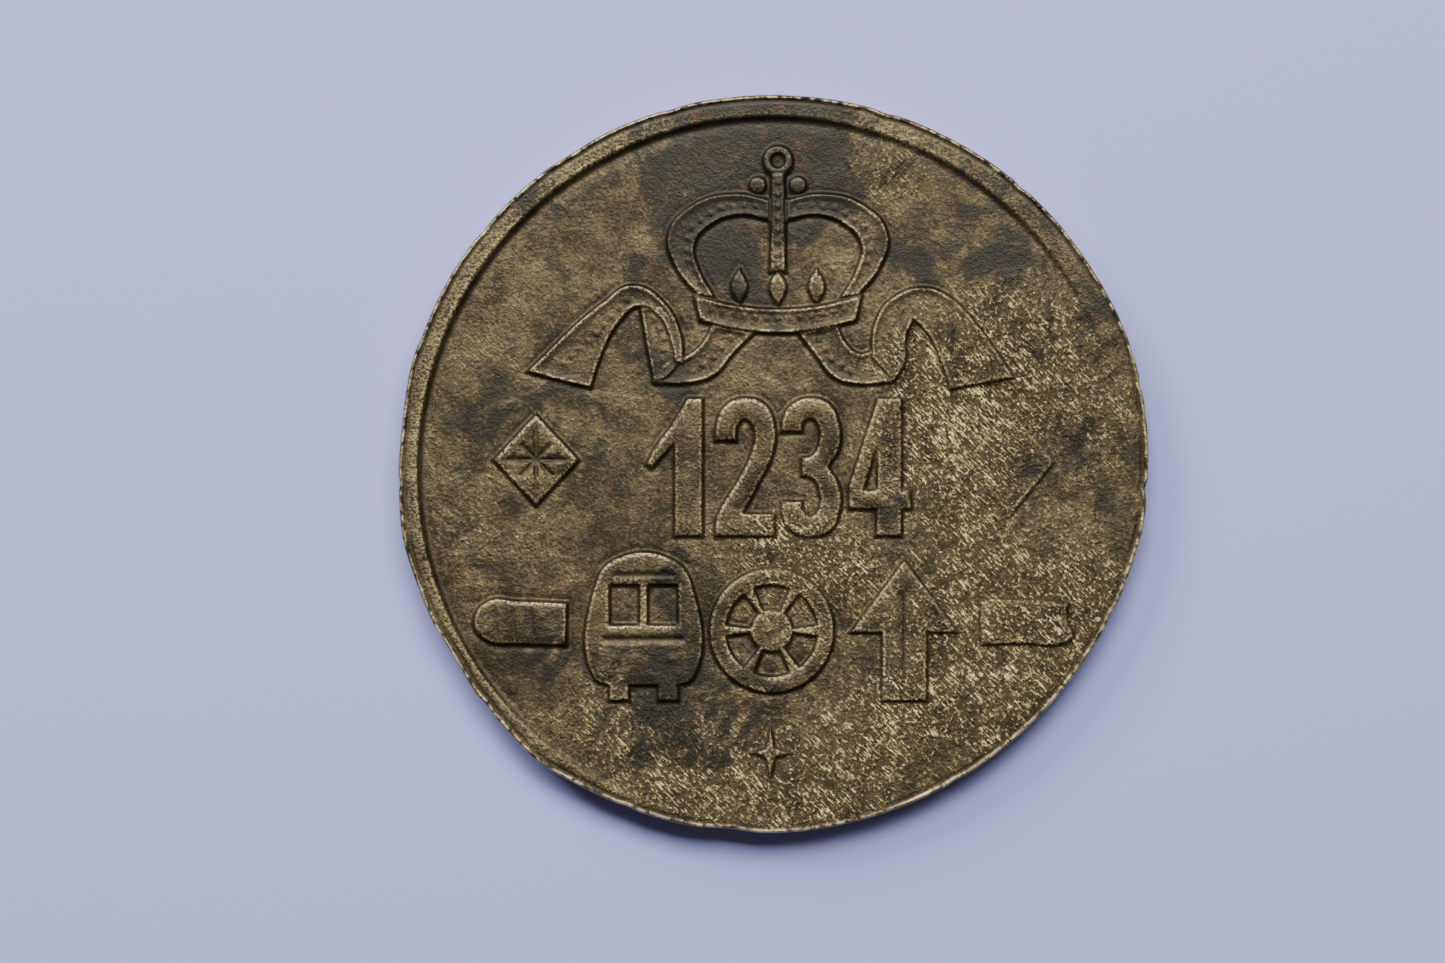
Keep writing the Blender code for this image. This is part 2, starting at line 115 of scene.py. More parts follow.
# ---- The drawing: outlines in millimetres. A point is (x, y), passed smoothly, or (x, y, SHARP), a corner.

SHARP = True
OBVERSE_CENTRE = np.array((-0.07, -0.27))
REVERSE_CENTRE = np.array((0.12, -0.08))
FIELD_RADIUS = 13.67

CROWN_AXIS_X = 0.24
CROWN_ARM = [
    (0.3, 10.55, SHARP), (1.7, 10.8), (3.35, 10.35), (4.3, 9.2), (4, 7.9), (3.15, 6.8, SHARP),
    (2.4, 6.7, SHARP), (3.05, 7.9), (3.2, 8.8), (2.55, 9.55), (1.5, 9.9), (0.3, 9.7, SHARP),
]
CROWN_BAND = [
    (-3.3, 6.85, SHARP), (-1.6, 6.45), (0, 6.32), (1.6, 6.45), (3.3, 6.85, SHARP),
    (3.05, 5.8, SHARP), (1.5, 5.45), (0, 5.32), (-1.5, 5.45), (-3.05, 5.8, SHARP),
]
CROWN_ARCH = [(-0.34, 7.7, SHARP), (0.34, 7.7, SHARP), (0.3, 11.6, SHARP), (-0.3, 11.6, SHARP)]
CROWN_LEAF_PLACES = [(-1.5, 7.15), (0, 7.1), (1.5, 7.15)]
CROWN_LEAF = [(-0.36, 0), (0, 0.8, SHARP), (0.36, 0), (0, -0.75, SHARP)]
FINIAL_CENTRE = (0, 12.05)
FINIAL_RADII = (0.62, 0.24)
CURL_CENTRE = (0.78, 11.1)
CURL_RADIUS = 0.36

LEFT_RIBBON_HANG = [
    (-0.6, 5.4, SHARP), (-1.45, 4.55), (-2.2, 3.7), (-3.05, 3.4), (-4.5, 3.35, SHARP),
    (-4.2, 4.15), (-3.4, 4.45), (-2.75, 4.95), (-2.3, 5.75, SHARP),
]
LEFT_RIBBON_FOLD = [
    (-5.15, 6.4, SHARP), (-4.95, 5.2), (-4.6, 3.38, SHARP), (-3.95, 3.7), (-3.45, 4.6),
    (-3.6, 5.6), (-4.2, 6.4, SHARP),
]
LEFT_RIBBON_TAIL = [
    (-3.4, 4.1, SHARP), (-3.5, 5.3), (-4.1, 6.5), (-5.4, 7.25), (-6.6, 6.55), (-9.55, 3.85, SHARP),
    (-8.3, 3.5), (-7, 3.2, SHARP), (-6.6, 4.45), (-5.9, 5.75), (-5.15, 6.35), (-4.45, 6),
    (-3.95, 5), (-3.8, 4.2, SHARP),
]
RIGHT_RIBBON_HANG = [
    (0.95, 5.4, SHARP), (1.65, 4.5), (2.4, 3.6), (3.2, 3.35), (4.7, 3.42, SHARP),
    (5, 4.1), (4.2, 4.75), (3.4, 4.6), (2.9, 5), (2.55, 5.75, SHARP),
]
RIGHT_RIBBON_TAIL = [
    (3.85, 4.4, SHARP), (3.95, 5.7), (4.6, 6.7), (6, 7.15), (7.1, 6.65), (8.3, 5.3),
    (9.45, 3.62, SHARP), (8.2, 3.38), (6.92, 3.15, SHARP), (6.55, 4.2), (6.05, 5.3), (5.52, 5.85, SHARP),
    (5.25, 5.2), (5.2, 4.2), (4.75, 3.45, SHARP),
]

# Each numeral's outline and then its holes, from its own lower left corner.
NUMERAL_OUTLINES = {
    "1": [
        [(1.1, 0, SHARP), (2.28, 0, SHARP), (2.28, 5.42, SHARP), (1.62, 5.42, SHARP), (1.02, 4.4),
         (0.38, 3.52), (0, 2.8, SHARP), (0.26, 2.62, SHARP), (1.1, 3.55, SHARP)],
    ],
    "2": [
        [(0, 0, SHARP), (2.36, 0, SHARP), (2.36, 0.94, SHARP), (1.16, 0.94, SHARP), (1.8, 2.15),
         (2.3, 3.2), (2.38, 4.35), (1.98, 5.18), (1.2, 5.44), (0.44, 5.18), (0.02, 4.4),
         (0, 3.7, SHARP), (0.88, 3.7, SHARP), (0.94, 4.3), (1.2, 4.52), (1.46, 4.25), (1.4, 3.35),
         (0.92, 2.3), (0.24, 1.2), (0, 0.6)],
    ],
    "3": [
        [(0, 1.42, SHARP), (0.05, 0.76), (0.44, 0.18), (1.18, -0.03), (1.94, 0.2), (2.34, 0.98),
         (2.32, 2), (1.9, 2.72, SHARP), (2.32, 3.46), (2.3, 4.48), (1.9, 5.22), (1.18, 5.44),
         (0.44, 5.2), (0.04, 4.6), (0, 4.05, SHARP), (0.86, 4.05, SHARP), (0.94, 4.42), (1.18, 4.56),
         (1.42, 4.32), (1.42, 3.6), (1.2, 3.2), (0.78, 3.12, SHARP), (0.78, 2.34, SHARP), (1.22, 2.22),
         (1.46, 1.78), (1.44, 1.12), (1.18, 0.86), (0.92, 1.06), (0.88, 1.42, SHARP)],
    ],
    "4": [
        [(1.06, 0, SHARP), (2.12, 0, SHARP), (2.12, 1.05, SHARP), (2.49, 1.05, SHARP),
         (2.49, 1.85, SHARP), (2.12, 1.85, SHARP), (2.12, 5.42, SHARP), (1.12, 5.42, SHARP),
         (0, 1.98, SHARP), (0, 1.05, SHARP), (1.06, 1.05, SHARP)],
        [(0.66, 1.85, SHARP), (1.1, 1.85, SHARP), (1.1, 3.3, SHARP)],
    ],
}
OBVERSE_NUMERALS = [("1", -4.92), ("2", -2.22), ("3", 0.34), ("4", 2.96)]
OBVERSE_NUMERAL_BASE = -2.56
REVERSE_NUMERAL_CORNER = (-2.3, -4.2)
REVERSE_NUMERAL_SCALE = 1.55

TRAM_BODY = [
    (-6.9, -8.1), (-6.95, -4.6), (-6.2, -3.45), (-3.75, -3.45), (-3, -4.6), (-3.05, -8.1),
    (-3.6, -8.35, SHARP), (-3.6, -8.95, SHARP), (-4.45, -8.95, SHARP), (-4.45, -8.35, SHARP),
    (-5.5, -8.35, SHARP), (-5.5, -8.95, SHARP), (-6.35, -8.95, SHARP), (-6.35, -8.35, SHARP),
]
TRAM_WINDOW_HALF = (0.55, 0.75)
TRAM_WINDOW_CENTRES = [(-5.72, -5.2), (-4.23, -5.2)]
WHEEL_CENTRE = (0, -6.2)
WHEEL_RADIUS = 2.45
WHEEL_GAP_RADII = (0.85, 1.75)
WHEEL_GAP_ANGLE = math.radians(44)
WHEEL_SPOKES = 6
ARROW = [
    (5.15, -3.4, SHARP), (7.3, -6.3, SHARP), (6.05, -6.3, SHARP), (6.05, -8.95, SHARP),
    (4.25, -8.95, SHARP), (4.25, -6.3, SHARP), (3, -6.3, SHARP),
]
LEFT_BAR = [
    (-11.6, -5.9), (-11.1, -5.05), (-9.8, -5.02), (-7.92, -5.1, SHARP), (-7.95, -6.8, SHARP),
    (-9.8, -6.75), (-11.1, -6.6),
]
RIGHT_BAR = [
    (8.05, -4.95, SHARP), (10, -4.98), (11.55, -5.1, SHARP), (11.5, -5.8), (11.7, -6.45),
    (11.2, -6.75), (9.8, -6.72), (8.1, -6.78, SHARP),
]
RHOMBUS_CENTRE = (-9.15, 0.43)
RHOMBUS_HALF = (1.7, 1.82)
RHOMBUS_RAY = 1.12
RHOMBUS_RAYS = 8
SHORT_RAY_SHARE = 0.72
STAR_CENTRE = (-0.05, -10.95)
STAR_HALF = (0.85, 1.1)
STAR_WAIST = 0.3
# A second rhombus that the die hardly filled.
GHOST_CENTRE = (9.25, 0.35)
GHOST_HALF = (1.75, 2.15)
WREATH_RADIUS = 9.6
STEM_HALF = 0.2


@dataclass
class Relief:
    """A raised shape: its outlines, and how the metal rises inside them.

    Layers overlap, and each is a step lower than the one before. The dome is the share of the height that
    is gained in a curve over the shoulder's width. The middle is sunk by the border's depth, and the share
    is how much of the full relief the die filled. Widths and depths are in millimetres.
    """

    loops: list
    layer: int = 0
    dome: float = 0.3
    shoulder: float = 0.45
    border: float = 0.0
    share: float = 1.0


@dataclass
class Groove:
    """A cut line: its two ends, its half width at each and its depth, in millimetres."""

    start: tuple
    end: tuple
    start_half: float
    end_half: float
    depth: float


def smooth_loop(points):
    """The closed curve through the points, with a corner at each sharp one."""
    curve = bpy.data.curves.new("outline", "CURVE")
    curve.dimensions = "2D"
    curve.fill_mode = "NONE"
    spline = curve.splines.new("BEZIER")
    spline.bezier_points.add(len(points) - 1)
    spline.use_cyclic_u = True
    spline.resolution_u = 10
    for bezier, point in zip(spline.bezier_points, points):
        bezier.co = (point[0], point[1], 0)
        handle = "VECTOR" if len(point) == 3 else "AUTO"
        bezier.handle_left_type = handle
        bezier.handle_right_type = handle
    return read_loops(bpy.data.objects.new("outline", curve))[0]


def read_loops(guide):
    """The closed loops of edges in an object's evaluated mesh. The object is removed."""
    bpy.context.scene.collection.objects.link(guide)
    graph = bpy.context.evaluated_depsgraph_get()
    mesh = bpy.data.meshes.new_from_object(guide.evaluated_get(graph))
    bpy.data.objects.remove(guide)
    bm = bmesh.new()
    bm.from_mesh(mesh)
    bpy.data.meshes.remove(mesh)
    loops = []
    unused = {edge for edge in bm.edges if len(edge.link_faces) < 2}
    while unused:
        edge = min(unused, key=lambda e: e.index)
        unused.discard(edge)
        first, vertex = edge.verts
        loop = [first.co.xy[:], vertex.co.xy[:]]
        while vertex is not first:
            edge = next(e for e in vertex.link_edges if e in unused)
            unused.discard(edge)
            vertex = edge.other_vert(vertex)
            loop.append(vertex.co.xy[:])
        loops.append(np.array(loop[:-1]))
    bm.free()
    return loops


def shifted(points, dx, dy, scale=1.0):
    """The points scaled and then moved, with their corners kept."""
    return [(dx + x * scale, dy + y * scale, *corner) for x, y, *corner in points]


def mirrored(points):
    """The points turned over left to right."""
    return [(-x, y, *corner) for x, y, *corner in points]


def circle(centre, radius, sides=48):
    """A circle as evenly spaced points."""
    turn = np.linspace(0, 2 * np.pi, sides, endpoint=False)
    return np.stack((centre[0] + radius * np.cos(turn), centre[1] + radius * np.sin(turn)), axis=1)


def star(centre):
    """A four-pointed star, anticlockwise from the tip at its right."""
    points = []
    for quarter in range(4):
        tip = math.radians(90) * quarter
        waist = tip + math.radians(45)
        for angle, (wide, tall) in ((tip, STAR_HALF), (waist, (STAR_WAIST, STAR_WAIST))):
            points.append((centre[0] + wide * math.cos(angle), centre[1] + tall * math.sin(angle), SHARP))
    return points


def rhombus(centre, half):
    """A rhombus with sharp corners, given half its width and height."""
    signs = [(1, 0), (0, 1), (-1, 0), (0, -1)]
    return [(centre[0] + half[0] * sx, centre[1] + half[1] * sy, SHARP) for sx, sy in signs]


def wheel_gaps():
    """The gaps between the spokes, each a sector of a ring."""
    loops = []
    spread = np.linspace(-WHEEL_GAP_ANGLE / 2, WHEEL_GAP_ANGLE / 2, 9)
    for i in range(WHEEL_SPOKES):
        turn = 2 * math.pi * (i + 0.5) / WHEEL_SPOKES + spread
        arcs = []
        for radius, angles in ((WHEEL_GAP_RADII[0], turn), (WHEEL_GAP_RADII[1], turn[::-1])):
            arcs.append(np.stack((radius * np.cos(angles), radius * np.sin(angles)), axis=1))
        loops.append(np.concatenate(arcs) + WHEEL_CENTRE)
    return loops


def draw_obverse():
    """The obverse: its raised shapes, its cut lines and the guides of its bead rows."""
    axis = CROWN_AXIS_X
    shapes = [
        Relief([smooth_loop(shifted(CROWN_BAND, axis, 0))], dome=0.1, shoulder=0.2, border=0.035),
        Relief([smooth_loop(shifted(CROWN_ARCH, axis, 0))], dome=0.4, shoulder=0.3),
    ]
    for arm in (CROWN_ARM, mirrored(CROWN_ARM)):
        loop = smooth_loop(shifted(arm, axis, 0))
        shapes.append(Relief([loop], layer=1, dome=0.2, shoulder=0.3, border=0.04))
    finial = (FINIAL_CENTRE[0] + axis, FINIAL_CENTRE[1])
    rings = [circle(finial, radius) for radius in FINIAL_RADII]
    shapes.append(Relief(rings, layer=1, dome=0.5, shoulder=0.2))
    for side in (-1, 1):
        curl = circle((axis + side * CURL_CENTRE[0], CURL_CENTRE[1]), CURL_RADIUS)
        shapes.append(Relief([curl], layer=2, dome=0.6, shoulder=0.3))
    for x, y in CROWN_LEAF_PLACES:
        leaf = smooth_loop(shifted(CROWN_LEAF, x + axis, y))
        shapes.append(Relief([leaf], layer=2, dome=0.6, shoulder=0.3))
    tails, hangs = (LEFT_RIBBON_TAIL, RIGHT_RIBBON_TAIL), (LEFT_RIBBON_HANG, RIGHT_RIBBON_HANG)
    for layer, outlines in enumerate((tails, (LEFT_RIBBON_FOLD,), hangs)):
        for loop in [smooth_loop(outline) for outline in outlines]:
            shapes.append(Relief([loop], layer=layer, dome=0.15, shoulder=0.3, border=0.045))
    for numeral, left in OBVERSE_NUMERALS:
        outlines = [shifted(points, left, OBVERSE_NUMERAL_BASE) for points in NUMERAL_OUTLINES[numeral]]
        shapes.append(Relief([smooth_loop(outline) for outline in outlines], dome=0.5, shoulder=0.5))
    windows = []
    for centre in TRAM_WINDOW_CENTRES:
        wide, tall = TRAM_WINDOW_HALF
        corners = [(-wide, -tall, SHARP), (wide, -tall, SHARP), (wide, tall, SHARP), (-wide, tall, SHARP)]
        windows.append(smooth_loop(shifted(corners, *centre)))
    shapes += [
        Relief([smooth_loop(TRAM_BODY), *windows]),
        Relief([circle(WHEEL_CENTRE, WHEEL_RADIUS, 160), *wheel_gaps()], shoulder=0.35),
        *[Relief([smooth_loop(outline)]) for outline in (ARROW, LEFT_BAR, RIGHT_BAR)],
        Relief([smooth_loop(rhombus(RHOMBUS_CENTRE, RHOMBUS_HALF))], shoulder=0.5),
        Relief([smooth_loop(star(STAR_CENTRE))], dome=0.6, shoulder=0.35),
        Relief([smooth_loop(rhombus(GHOST_CENTRE, GHOST_HALF))], dome=0.2, shoulder=0.4, share=0.2),
    ]

    grooves = []
    cx, cy = RHOMBUS_CENTRE
    for i in range(RHOMBUS_RAYS):
        turn = 2 * math.pi * i / RHOMBUS_RAYS
        reach = RHOMBUS_RAY if i % 2 == 0 else SHORT_RAY_SHARE * RHOMBUS_RAY
        tip = (cx + reach * math.cos(turn), cy + reach * math.sin(turn))
        grooves.append(Groove((cx, cy), tip, 0.13, 0.04, 0.09))
    for x in (-10.75, -10.05, -9.35):
        grooves.append(Groove((x, -5.45), (x + 0.05, -6.3), 0.07, 0.05, 0.03))
    grooves += [
        Groove((-6.45, -6.55), (-3.5, -6.55), 0.07, 0.07, 0.07),
        Groove((-6.1, -4.05), (-3.85, -4.05), 0.07, 0.07, 0.06),
        Groove((5.15, -4.55), (5.15, -8.4), 0.09, 0.07, 0.07),
    ]
    arm = [(0.85, 10.3), (2.3, 10.2), (3.35, 9.45), (3.55, 8.45), (3.05, 7.3)]
    beads = [
        [(axis, 7.95), (axis, 11.2)],
        [(axis - 2.6, 6.28), (axis - 1.3, 6.02), (axis, 5.92), (axis + 1.3, 6.02), (axis + 2.6, 6.28)],
        *[[(axis + side * x, y) for x, y in arm] for side in (1, -1)],
        [(-8.1, 4.15), (-6.75, 5.35), (-5.6, 6.65)],
        [(-4.25, 4.3), (-4.15, 5.1), (-4.55, 5.9)],
        [(-3.1, 3.85), (-2.3, 4.35), (-1.6, 5.15)],
        [(8.05, 4.15), (7.1, 5.35), (6.1, 6.45)],
        [(4.45, 4.3), (4.5, 5.3), (5.0, 6.2)],
        [(3.1, 3.85), (2.3, 4.35), (1.8, 5.1)],
        [(-6.15, -7.3), (-5.95, -7.3)],
        [(-3.95, -7.3), (-3.75, -7.3)],
        [(-0.02, -6.2), (0.02, -6.2)],
    ]
    return shapes, grooves, beads


# Lengths in millimetres and angles in degrees.
WREATH_SIZES = {
    "Radius": WREATH_RADIUS, "Start": -78.0, "Span": 140.0, "Pairs": 8,
    "Leaf length": 2.7, "Leaf width": 1.05, "Leaf offset": 0.95, "Leaf spread": 34.0,
}


def wreath_tree():
    """Geometry nodes: pairs of pointed leaves along an arc, as flat outlines."""
    kinds = {name: "Int" if isinstance(value, int) else "Float" for name, value in WREATH_SIZES.items()}
    tree, given = new_tree("Leaf pairs", kinds)
    math_node, xyz, unpack = "ShaderNodeMath", "ShaderNodeCombineXYZ", "ShaderNodeSeparateXYZ"

    line = add_node(tree, "GeometryNodeMeshLine", {"Count": given["Pairs"]}, mode="OFFSET")
    index = add_node(tree, "GeometryNodeInputIndex")
    step = add_node(tree, math_node, {0: given["Span"], 1: given["Pairs"]}, operation="DIVIDE")
    middle = add_node(tree, math_node, {0: index, 1: 0.5}, operation="ADD")
    place = add_node(tree, math_node, {0: step, 1: middle, 2: given["Start"]}, operation="MULTIPLY_ADD")
    angle = add_node(tree, math_node, {0: place}, operation="RADIANS")
    across = add_node(tree, math_node, {0: angle}, operation="COSINE")
    upward = add_node(tree, math_node, {0: angle}, operation="SINE")

    # A circle's side squared gives the leaf its two pointed ends.
    round_leaf = add_node(tree, "GeometryNodeMeshCircle", {"Vertices": 40, "Radius": 0.5}, fill_type="NGON")
    corner = add_node(tree, unpack, {0: add_node(tree, "GeometryNodeInputPosition")}).node.outputs
    side = add_node(tree, math_node, {0: corner[1]}, operation="ABSOLUTE")
    side = add_node(tree, math_node, {0: corner[1], 1: side}, operation="MULTIPLY")
    side = add_node(tree, math_node, {0: side, 1: 2.0}, operation="MULTIPLY")
    side = add_node(tree, math_node, {0: side, 1: given["Leaf width"]}, operation="MULTIPLY")
    along = add_node(tree, math_node, {0: corner[0], 1: given["Leaf length"]}, operation="MULTIPLY")
    pointed = add_node(tree, xyz, {0: along, 1: side})
    leaf = add_node(tree, "GeometryNodeSetPosition", {"Geometry": round_leaf, "Position": pointed})

    pairs = []
    for direction in (-1.0, 1.0):
        offset = add_node(tree, math_node, {0: given["Leaf offset"], 1: direction}, operation="MULTIPLY")
        radius = add_node(tree, math_node, {0: given["Radius"], 1: offset}, operation="ADD")
        x = add_node(tree, math_node, {0: radius, 1: across}, operation="MULTIPLY")
        y = add_node(tree, math_node, {0: radius, 1: upward}, operation="MULTIPLY")
        at = add_node(tree, xyz, {0: x, 1: y})
        placed = add_node(tree, "GeometryNodeSetPosition", {"Geometry": line, "Position": at})
        lean = add_node(tree, math_node, {0: given["Leaf spread"], 1: -direction}, operation="MULTIPLY")
        lean = add_node(tree, math_node, {0: lean}, operation="RADIANS")
        heading = add_node(tree, math_node, {0: angle, 1: math.pi / 2}, operation="ADD")
        heading = add_node(tree, math_node, {0: heading, 1: lean}, operation="ADD")
        turn = add_node(tree, "FunctionNodeEulerToRotation", {0: add_node(tree, xyz, {2: heading})})
        pairs.append(add_node(tree, "GeometryNodeInstanceOnPoints", {
            "Points": placed, "Instance": leaf, "Rotation": turn}))
    return end_tree(tree, add_node(tree, "GeometryNodeJoinGeometry", {0: pairs}))


def draw_reverse():
    """The reverse: a wreath of leaf pairs round a plain numeral. Drawn as seen, then turned over."""
    guide = bpy.data.objects.new("wreath", bpy.data.meshes.new("wreath"))
    add_nodes_modifier(guide, wreath_tree(), WREATH_SIZES)
    leaves = read_loops(guide)
    start = WREATH_SIZES["Start"]
    arc = np.radians(np.linspace(start, start + WREATH_SIZES["Span"], 60))
    stem = []
    for radius, angles in ((WREATH_RADIUS + STEM_HALF, arc), (WREATH_RADIUS - STEM_HALF, arc[::-1])):
        stem.append(np.stack((radius * np.cos(angles), radius * np.sin(angles)), axis=1))
    stem = np.concatenate(stem)
    turned = np.array((-1, 1))
    shapes, grooves = [], []
    for sign in (np.array((1, 1)), turned):
        shapes += [Relief([leaf * sign], dome=0.5, shoulder=0.4) for leaf in leaves]
        shapes.append(Relief([stem * sign], layer=1, dome=0.5, shoulder=0.2))
        for leaf in leaves:
            middle = leaf.mean(axis=0)
            tip = leaf[np.argmax(np.linalg.norm(leaf - middle, axis=1))]
            rib = 0.8 * (tip - middle)
            ends = [tuple((middle + way * rib) * sign) for way in (1, -1)]
            grooves.append(Groove(*ends, 0.06, 0.06, 0.06))
    numeral = shifted(NUMERAL_OUTLINES["1"][0], *REVERSE_NUMERAL_CORNER, REVERSE_NUMERAL_SCALE)
    shapes.append(Relief([smooth_loop(numeral) * turned], dome=0.4, shoulder=0.6))
    return shapes, grooves


# ---- The blank: its outline and its rims, in millimetres.

BLANK_RADIUS = 14.5
DEEP_ANGLE = math.radians(140)
THICKNESS = DISC_HIGH.z / MM
OVAL_SHARE, OVAL_ANGLE = 0.0105, math.radians(18.8)
LOBE_SHARE, LOBE_ANGLE = 0.0042, math.radians(5.7)
OUTLINE_SIDES = 96
FIELD_HEIGHT = THICKNESS - 0.26
REVERSE_FIELD_HEIGHT = 0.25
RIM_SLOPE = 0.21
EDGE_ROUND = 0.11
RING_POINTS = 800
RING_INSETS = (0.40, 0.33, 0.27, 0.215, 0.17, 0.135, 0.105, 0.08, 0.057, 0.037, 0.018, 0.004)
SIDE_RINGS = 6
WORN_AWAY = 0.022
# Waves round the edge: how many to a turn. They share no common step, so nothing repeats.
SLOW_WAVES, QUICK_WAVES = (9, 11, 13, 17, 19, 23), (41, 53, 59, 71, 83, 97, 113)
TORN_WAVES, SEAM_WAVES = (11, 17, 29, 37, 53, 67, 83, 109), (3, 5, 7, 12, 19, 31, 44)
TEAR_WAVES, DRIFT_WAVES = (37, 61, 89, 101, 127, 149), (71, 97, 131, 157, 191)
SLOW_DEPTH, QUICK_DEPTH = 0.010, 0.004
SLOW_SEED, QUICK_SEED, TEAR_SEED, DRIFT_SEED, OBVERSE_SEED, REVERSE_SEED = 3, 4, 31, 32, 21, 51
# Where the edge was knocked in, or squeezed out: angle and spread in degrees, and depth in millimetres.
EDGE_KNOCKS = [
    (211, 5.0, 0.12), (232, 6.0, -0.15), (192, 5.0, -0.09), (263, 3.5, 0.12), (350, 4.0, -0.06),
    (175, 5.0, 0.06), (164, 3.0, -0.05), (122, 3.0, 0.05), (34, 9.0, 0.05), (322, 14.0, 0.04),
    (72, 1.5, 0.06), (48, 1.0, 0.05), (106, 1.2, 0.05), (141, 0.9, 0.05), (356, 1.2, 0.09), (12, 0.9, 0.06),
    (336, 1.0, 0.06), (300, 1.1, 0.04), (247, 1.2, 0.05), (220, 0.9, 0.05), (183, 0.8, 0.05),
]


def smoothstep(x, low, high):
    """A soft step from 0 at low to 1 at high."""
    t = np.clip((x - low) / (high - low), 0, 1)
    return t * t * (3 - 2 * t)


def bell(x, middle, width):
    """A bell curve that is 1 at the middle."""
    return np.exp(-(((x - middle) / width) ** 2))


def wobble(angle, orders, seed):
    """A closed wave of about -1 to 1 round the edge: a sum of sines with seeded sizes and starts."""
    draw = np.random.default_rng(seed)
    total = np.zeros_like(angle)
    for order in orders:
        total += draw.uniform(0.4, 1.0) * np.cos(order * angle + draw.uniform(0, 2 * np.pi))
    return total / (1.1 * math.sqrt(len(orders)))


def drawn_outline(angle):
    """Radius of the blank before any wear: slightly oval and slightly three-sided."""
    oval = OVAL_SHARE * np.cos(2 * (angle - OVAL_ANGLE))
    lobes = LOBE_SHARE * np.cos(3 * (angle - LOBE_ANGLE))
    return BLANK_RADIUS * (1 + oval + lobes)


def blank_outline(angle):
    """Radius of the blank as it is worn and knocked."""
    radius = drawn_outline(angle) - WORN_AWAY
    slow, quick = wobble(angle, SLOW_WAVES, SLOW_SEED), wobble(angle, QUICK_WAVES, QUICK_SEED)
    radius += SLOW_DEPTH * slow + QUICK_DEPTH * quick
    for place, spread, depth in EDGE_KNOCKS:
        radius -= depth * bell((np.degrees(angle) - place + 180) % 360 - 180, 0, spread)
    return radius


def blank_middle():
    """The middle of the drawn outline's box, which is where the token's own middle lies."""
    turn = np.linspace(0, 2 * np.pi, OUTLINE_SIDES, endpoint=False)
    x, y = drawn_outline(turn) * np.cos(turn), drawn_outline(turn) * np.sin(turn)
    return np.array(((x.min() + x.max()) / 2, (y.min() + y.max()) / 2))


# ---- Where the points lie: closest together where the metal is steep.

OUTLINE_ROWS = (0.0, 0.04, 0.08, 0.13, 0.21, 0.33)
ROW_SPACING = 0.10
POINT_GAP = 0.038
FIELD_SPACING = 0.185
GROOVE_SHARES, BEAD_SHARES = (0.0, -0.5, 0.5, -1.0, 1.0), (0.0, 0.33, -0.33, 0.66, -0.66, 1.0, -1.0)
GROOVE_SPACING, BEAD_SPACING, BEAD_ROW_HALF = 0.06, 0.05, 0.17
RIM_OFFSETS, RIM_SPACING = (0.0, 0.06, -0.06, 0.13, -0.13, 0.22, -0.22, 0.32), 0.12
GRID_REACH, GRID_JITTER, GRID_GAP, GRID_SEED = 15, 0.2, 0.62, 11
FAR = -9.0
NEAR_MARGIN = 0.5


def signed_distance(points, loops):
    """Distance from each point to the nearest edge of the loops, positive inside them."""
    nearest = np.full(len(points), np.inf)
    inside = np.zeros(len(points), bool)
    x, y = points[:, 0, None], points[:, 1, None]
    for loop in loops:
        start, end = loop, np.roll(loop, -1, axis=0)
        run = end - start
        length = np.maximum((run**2).sum(axis=1), 1e-12)
        dx, dy = x - start[:, 0], y - start[:, 1]
        along = np.clip((dx * run[:, 0] + dy * run[:, 1]) / length, 0, 1)
        gap = (dx - along * run[:, 0]) ** 2 + (dy - along * run[:, 1]) ** 2
        nearest = np.minimum(nearest, gap.min(axis=1))
        spans = (start[:, 1] > y) != (end[:, 1] > y)
        rise = np.where(run[:, 1] == 0, 1e-12, run[:, 1])
        crossing = start[:, 0] + run[:, 0] * (y - start[:, 1]) / rise
        inside ^= ((spans & (x < crossing)).sum(axis=1) % 2).astype(bool)
    distance = np.sqrt(nearest)
    return np.where(inside, distance, -distance)


def shape_distance(points, shape):
    """Signed distance to a shape, worked out only for the points near it."""
    corners = np.concatenate(shape.loops)
    low, high = corners.min(axis=0) - NEAR_MARGIN, corners.max(axis=0) + NEAR_MARGIN
    picked = np.flatnonzero(np.all((points > low) & (points < high), axis=1))
    distance = np.full(len(points), FAR)
    for block in np.array_split(picked, len(picked) // 4000 + 1):
        if len(block):
            distance[block] = signed_distance(points[block], shape.loops)
    return distance


def subdivided(loop, spacing):
    """The loop with no step longer than the spacing."""
    pieces = []
    for start, end in zip(loop, np.roll(loop, -1, axis=0)):
        steps = max(1, math.ceil(np.linalg.norm(end - start) / spacing))
        pieces.append(start + (end - start) * np.arange(steps)[:, None] / steps)
    return np.concatenate(pieces)


def outline_rows(shape, spacing):
    """Rows of points beside a shape's outlines on both sides, fanned out round its corners."""
    rows = []
    for loop in shape.loops:
        loop = subdivided(loop, spacing)
        ahead = np.roll(loop, -1, axis=0) - loop
        heading = np.arctan2(ahead[:, 1], ahead[:, 0])
        before = np.roll(heading, 1)
        bend = (heading - before + np.pi) % (2 * np.pi) - np.pi
        corners = np.flatnonzero(np.abs(bend) > 0.35)
        for offset in OUTLINE_ROWS:
            every = np.arange(0, len(loop), 1 if offset < 0.15 else 2)
            for chosen, share in ((every, 0.5), *((corners, fan) for fan in (0.0, 0.25, 0.75, 1.0))):
                turn = before[chosen] + bend[chosen] * share + np.pi / 2
                out = offset * np.stack((np.cos(turn), np.sin(turn)), axis=1)
                for side in (-1, 1):
                    rows.append(np.column_stack((loop[chosen] + side * out, np.full(len(out), offset))))
    rows = np.concatenate(rows)
    rows = rows[np.argsort(rows[:, 2], kind="stable")]
    distance = np.abs(shape_distance(rows[:, :2], shape))
    return rows[np.abs(distance - rows[:, 2]) < 0.008, :2]


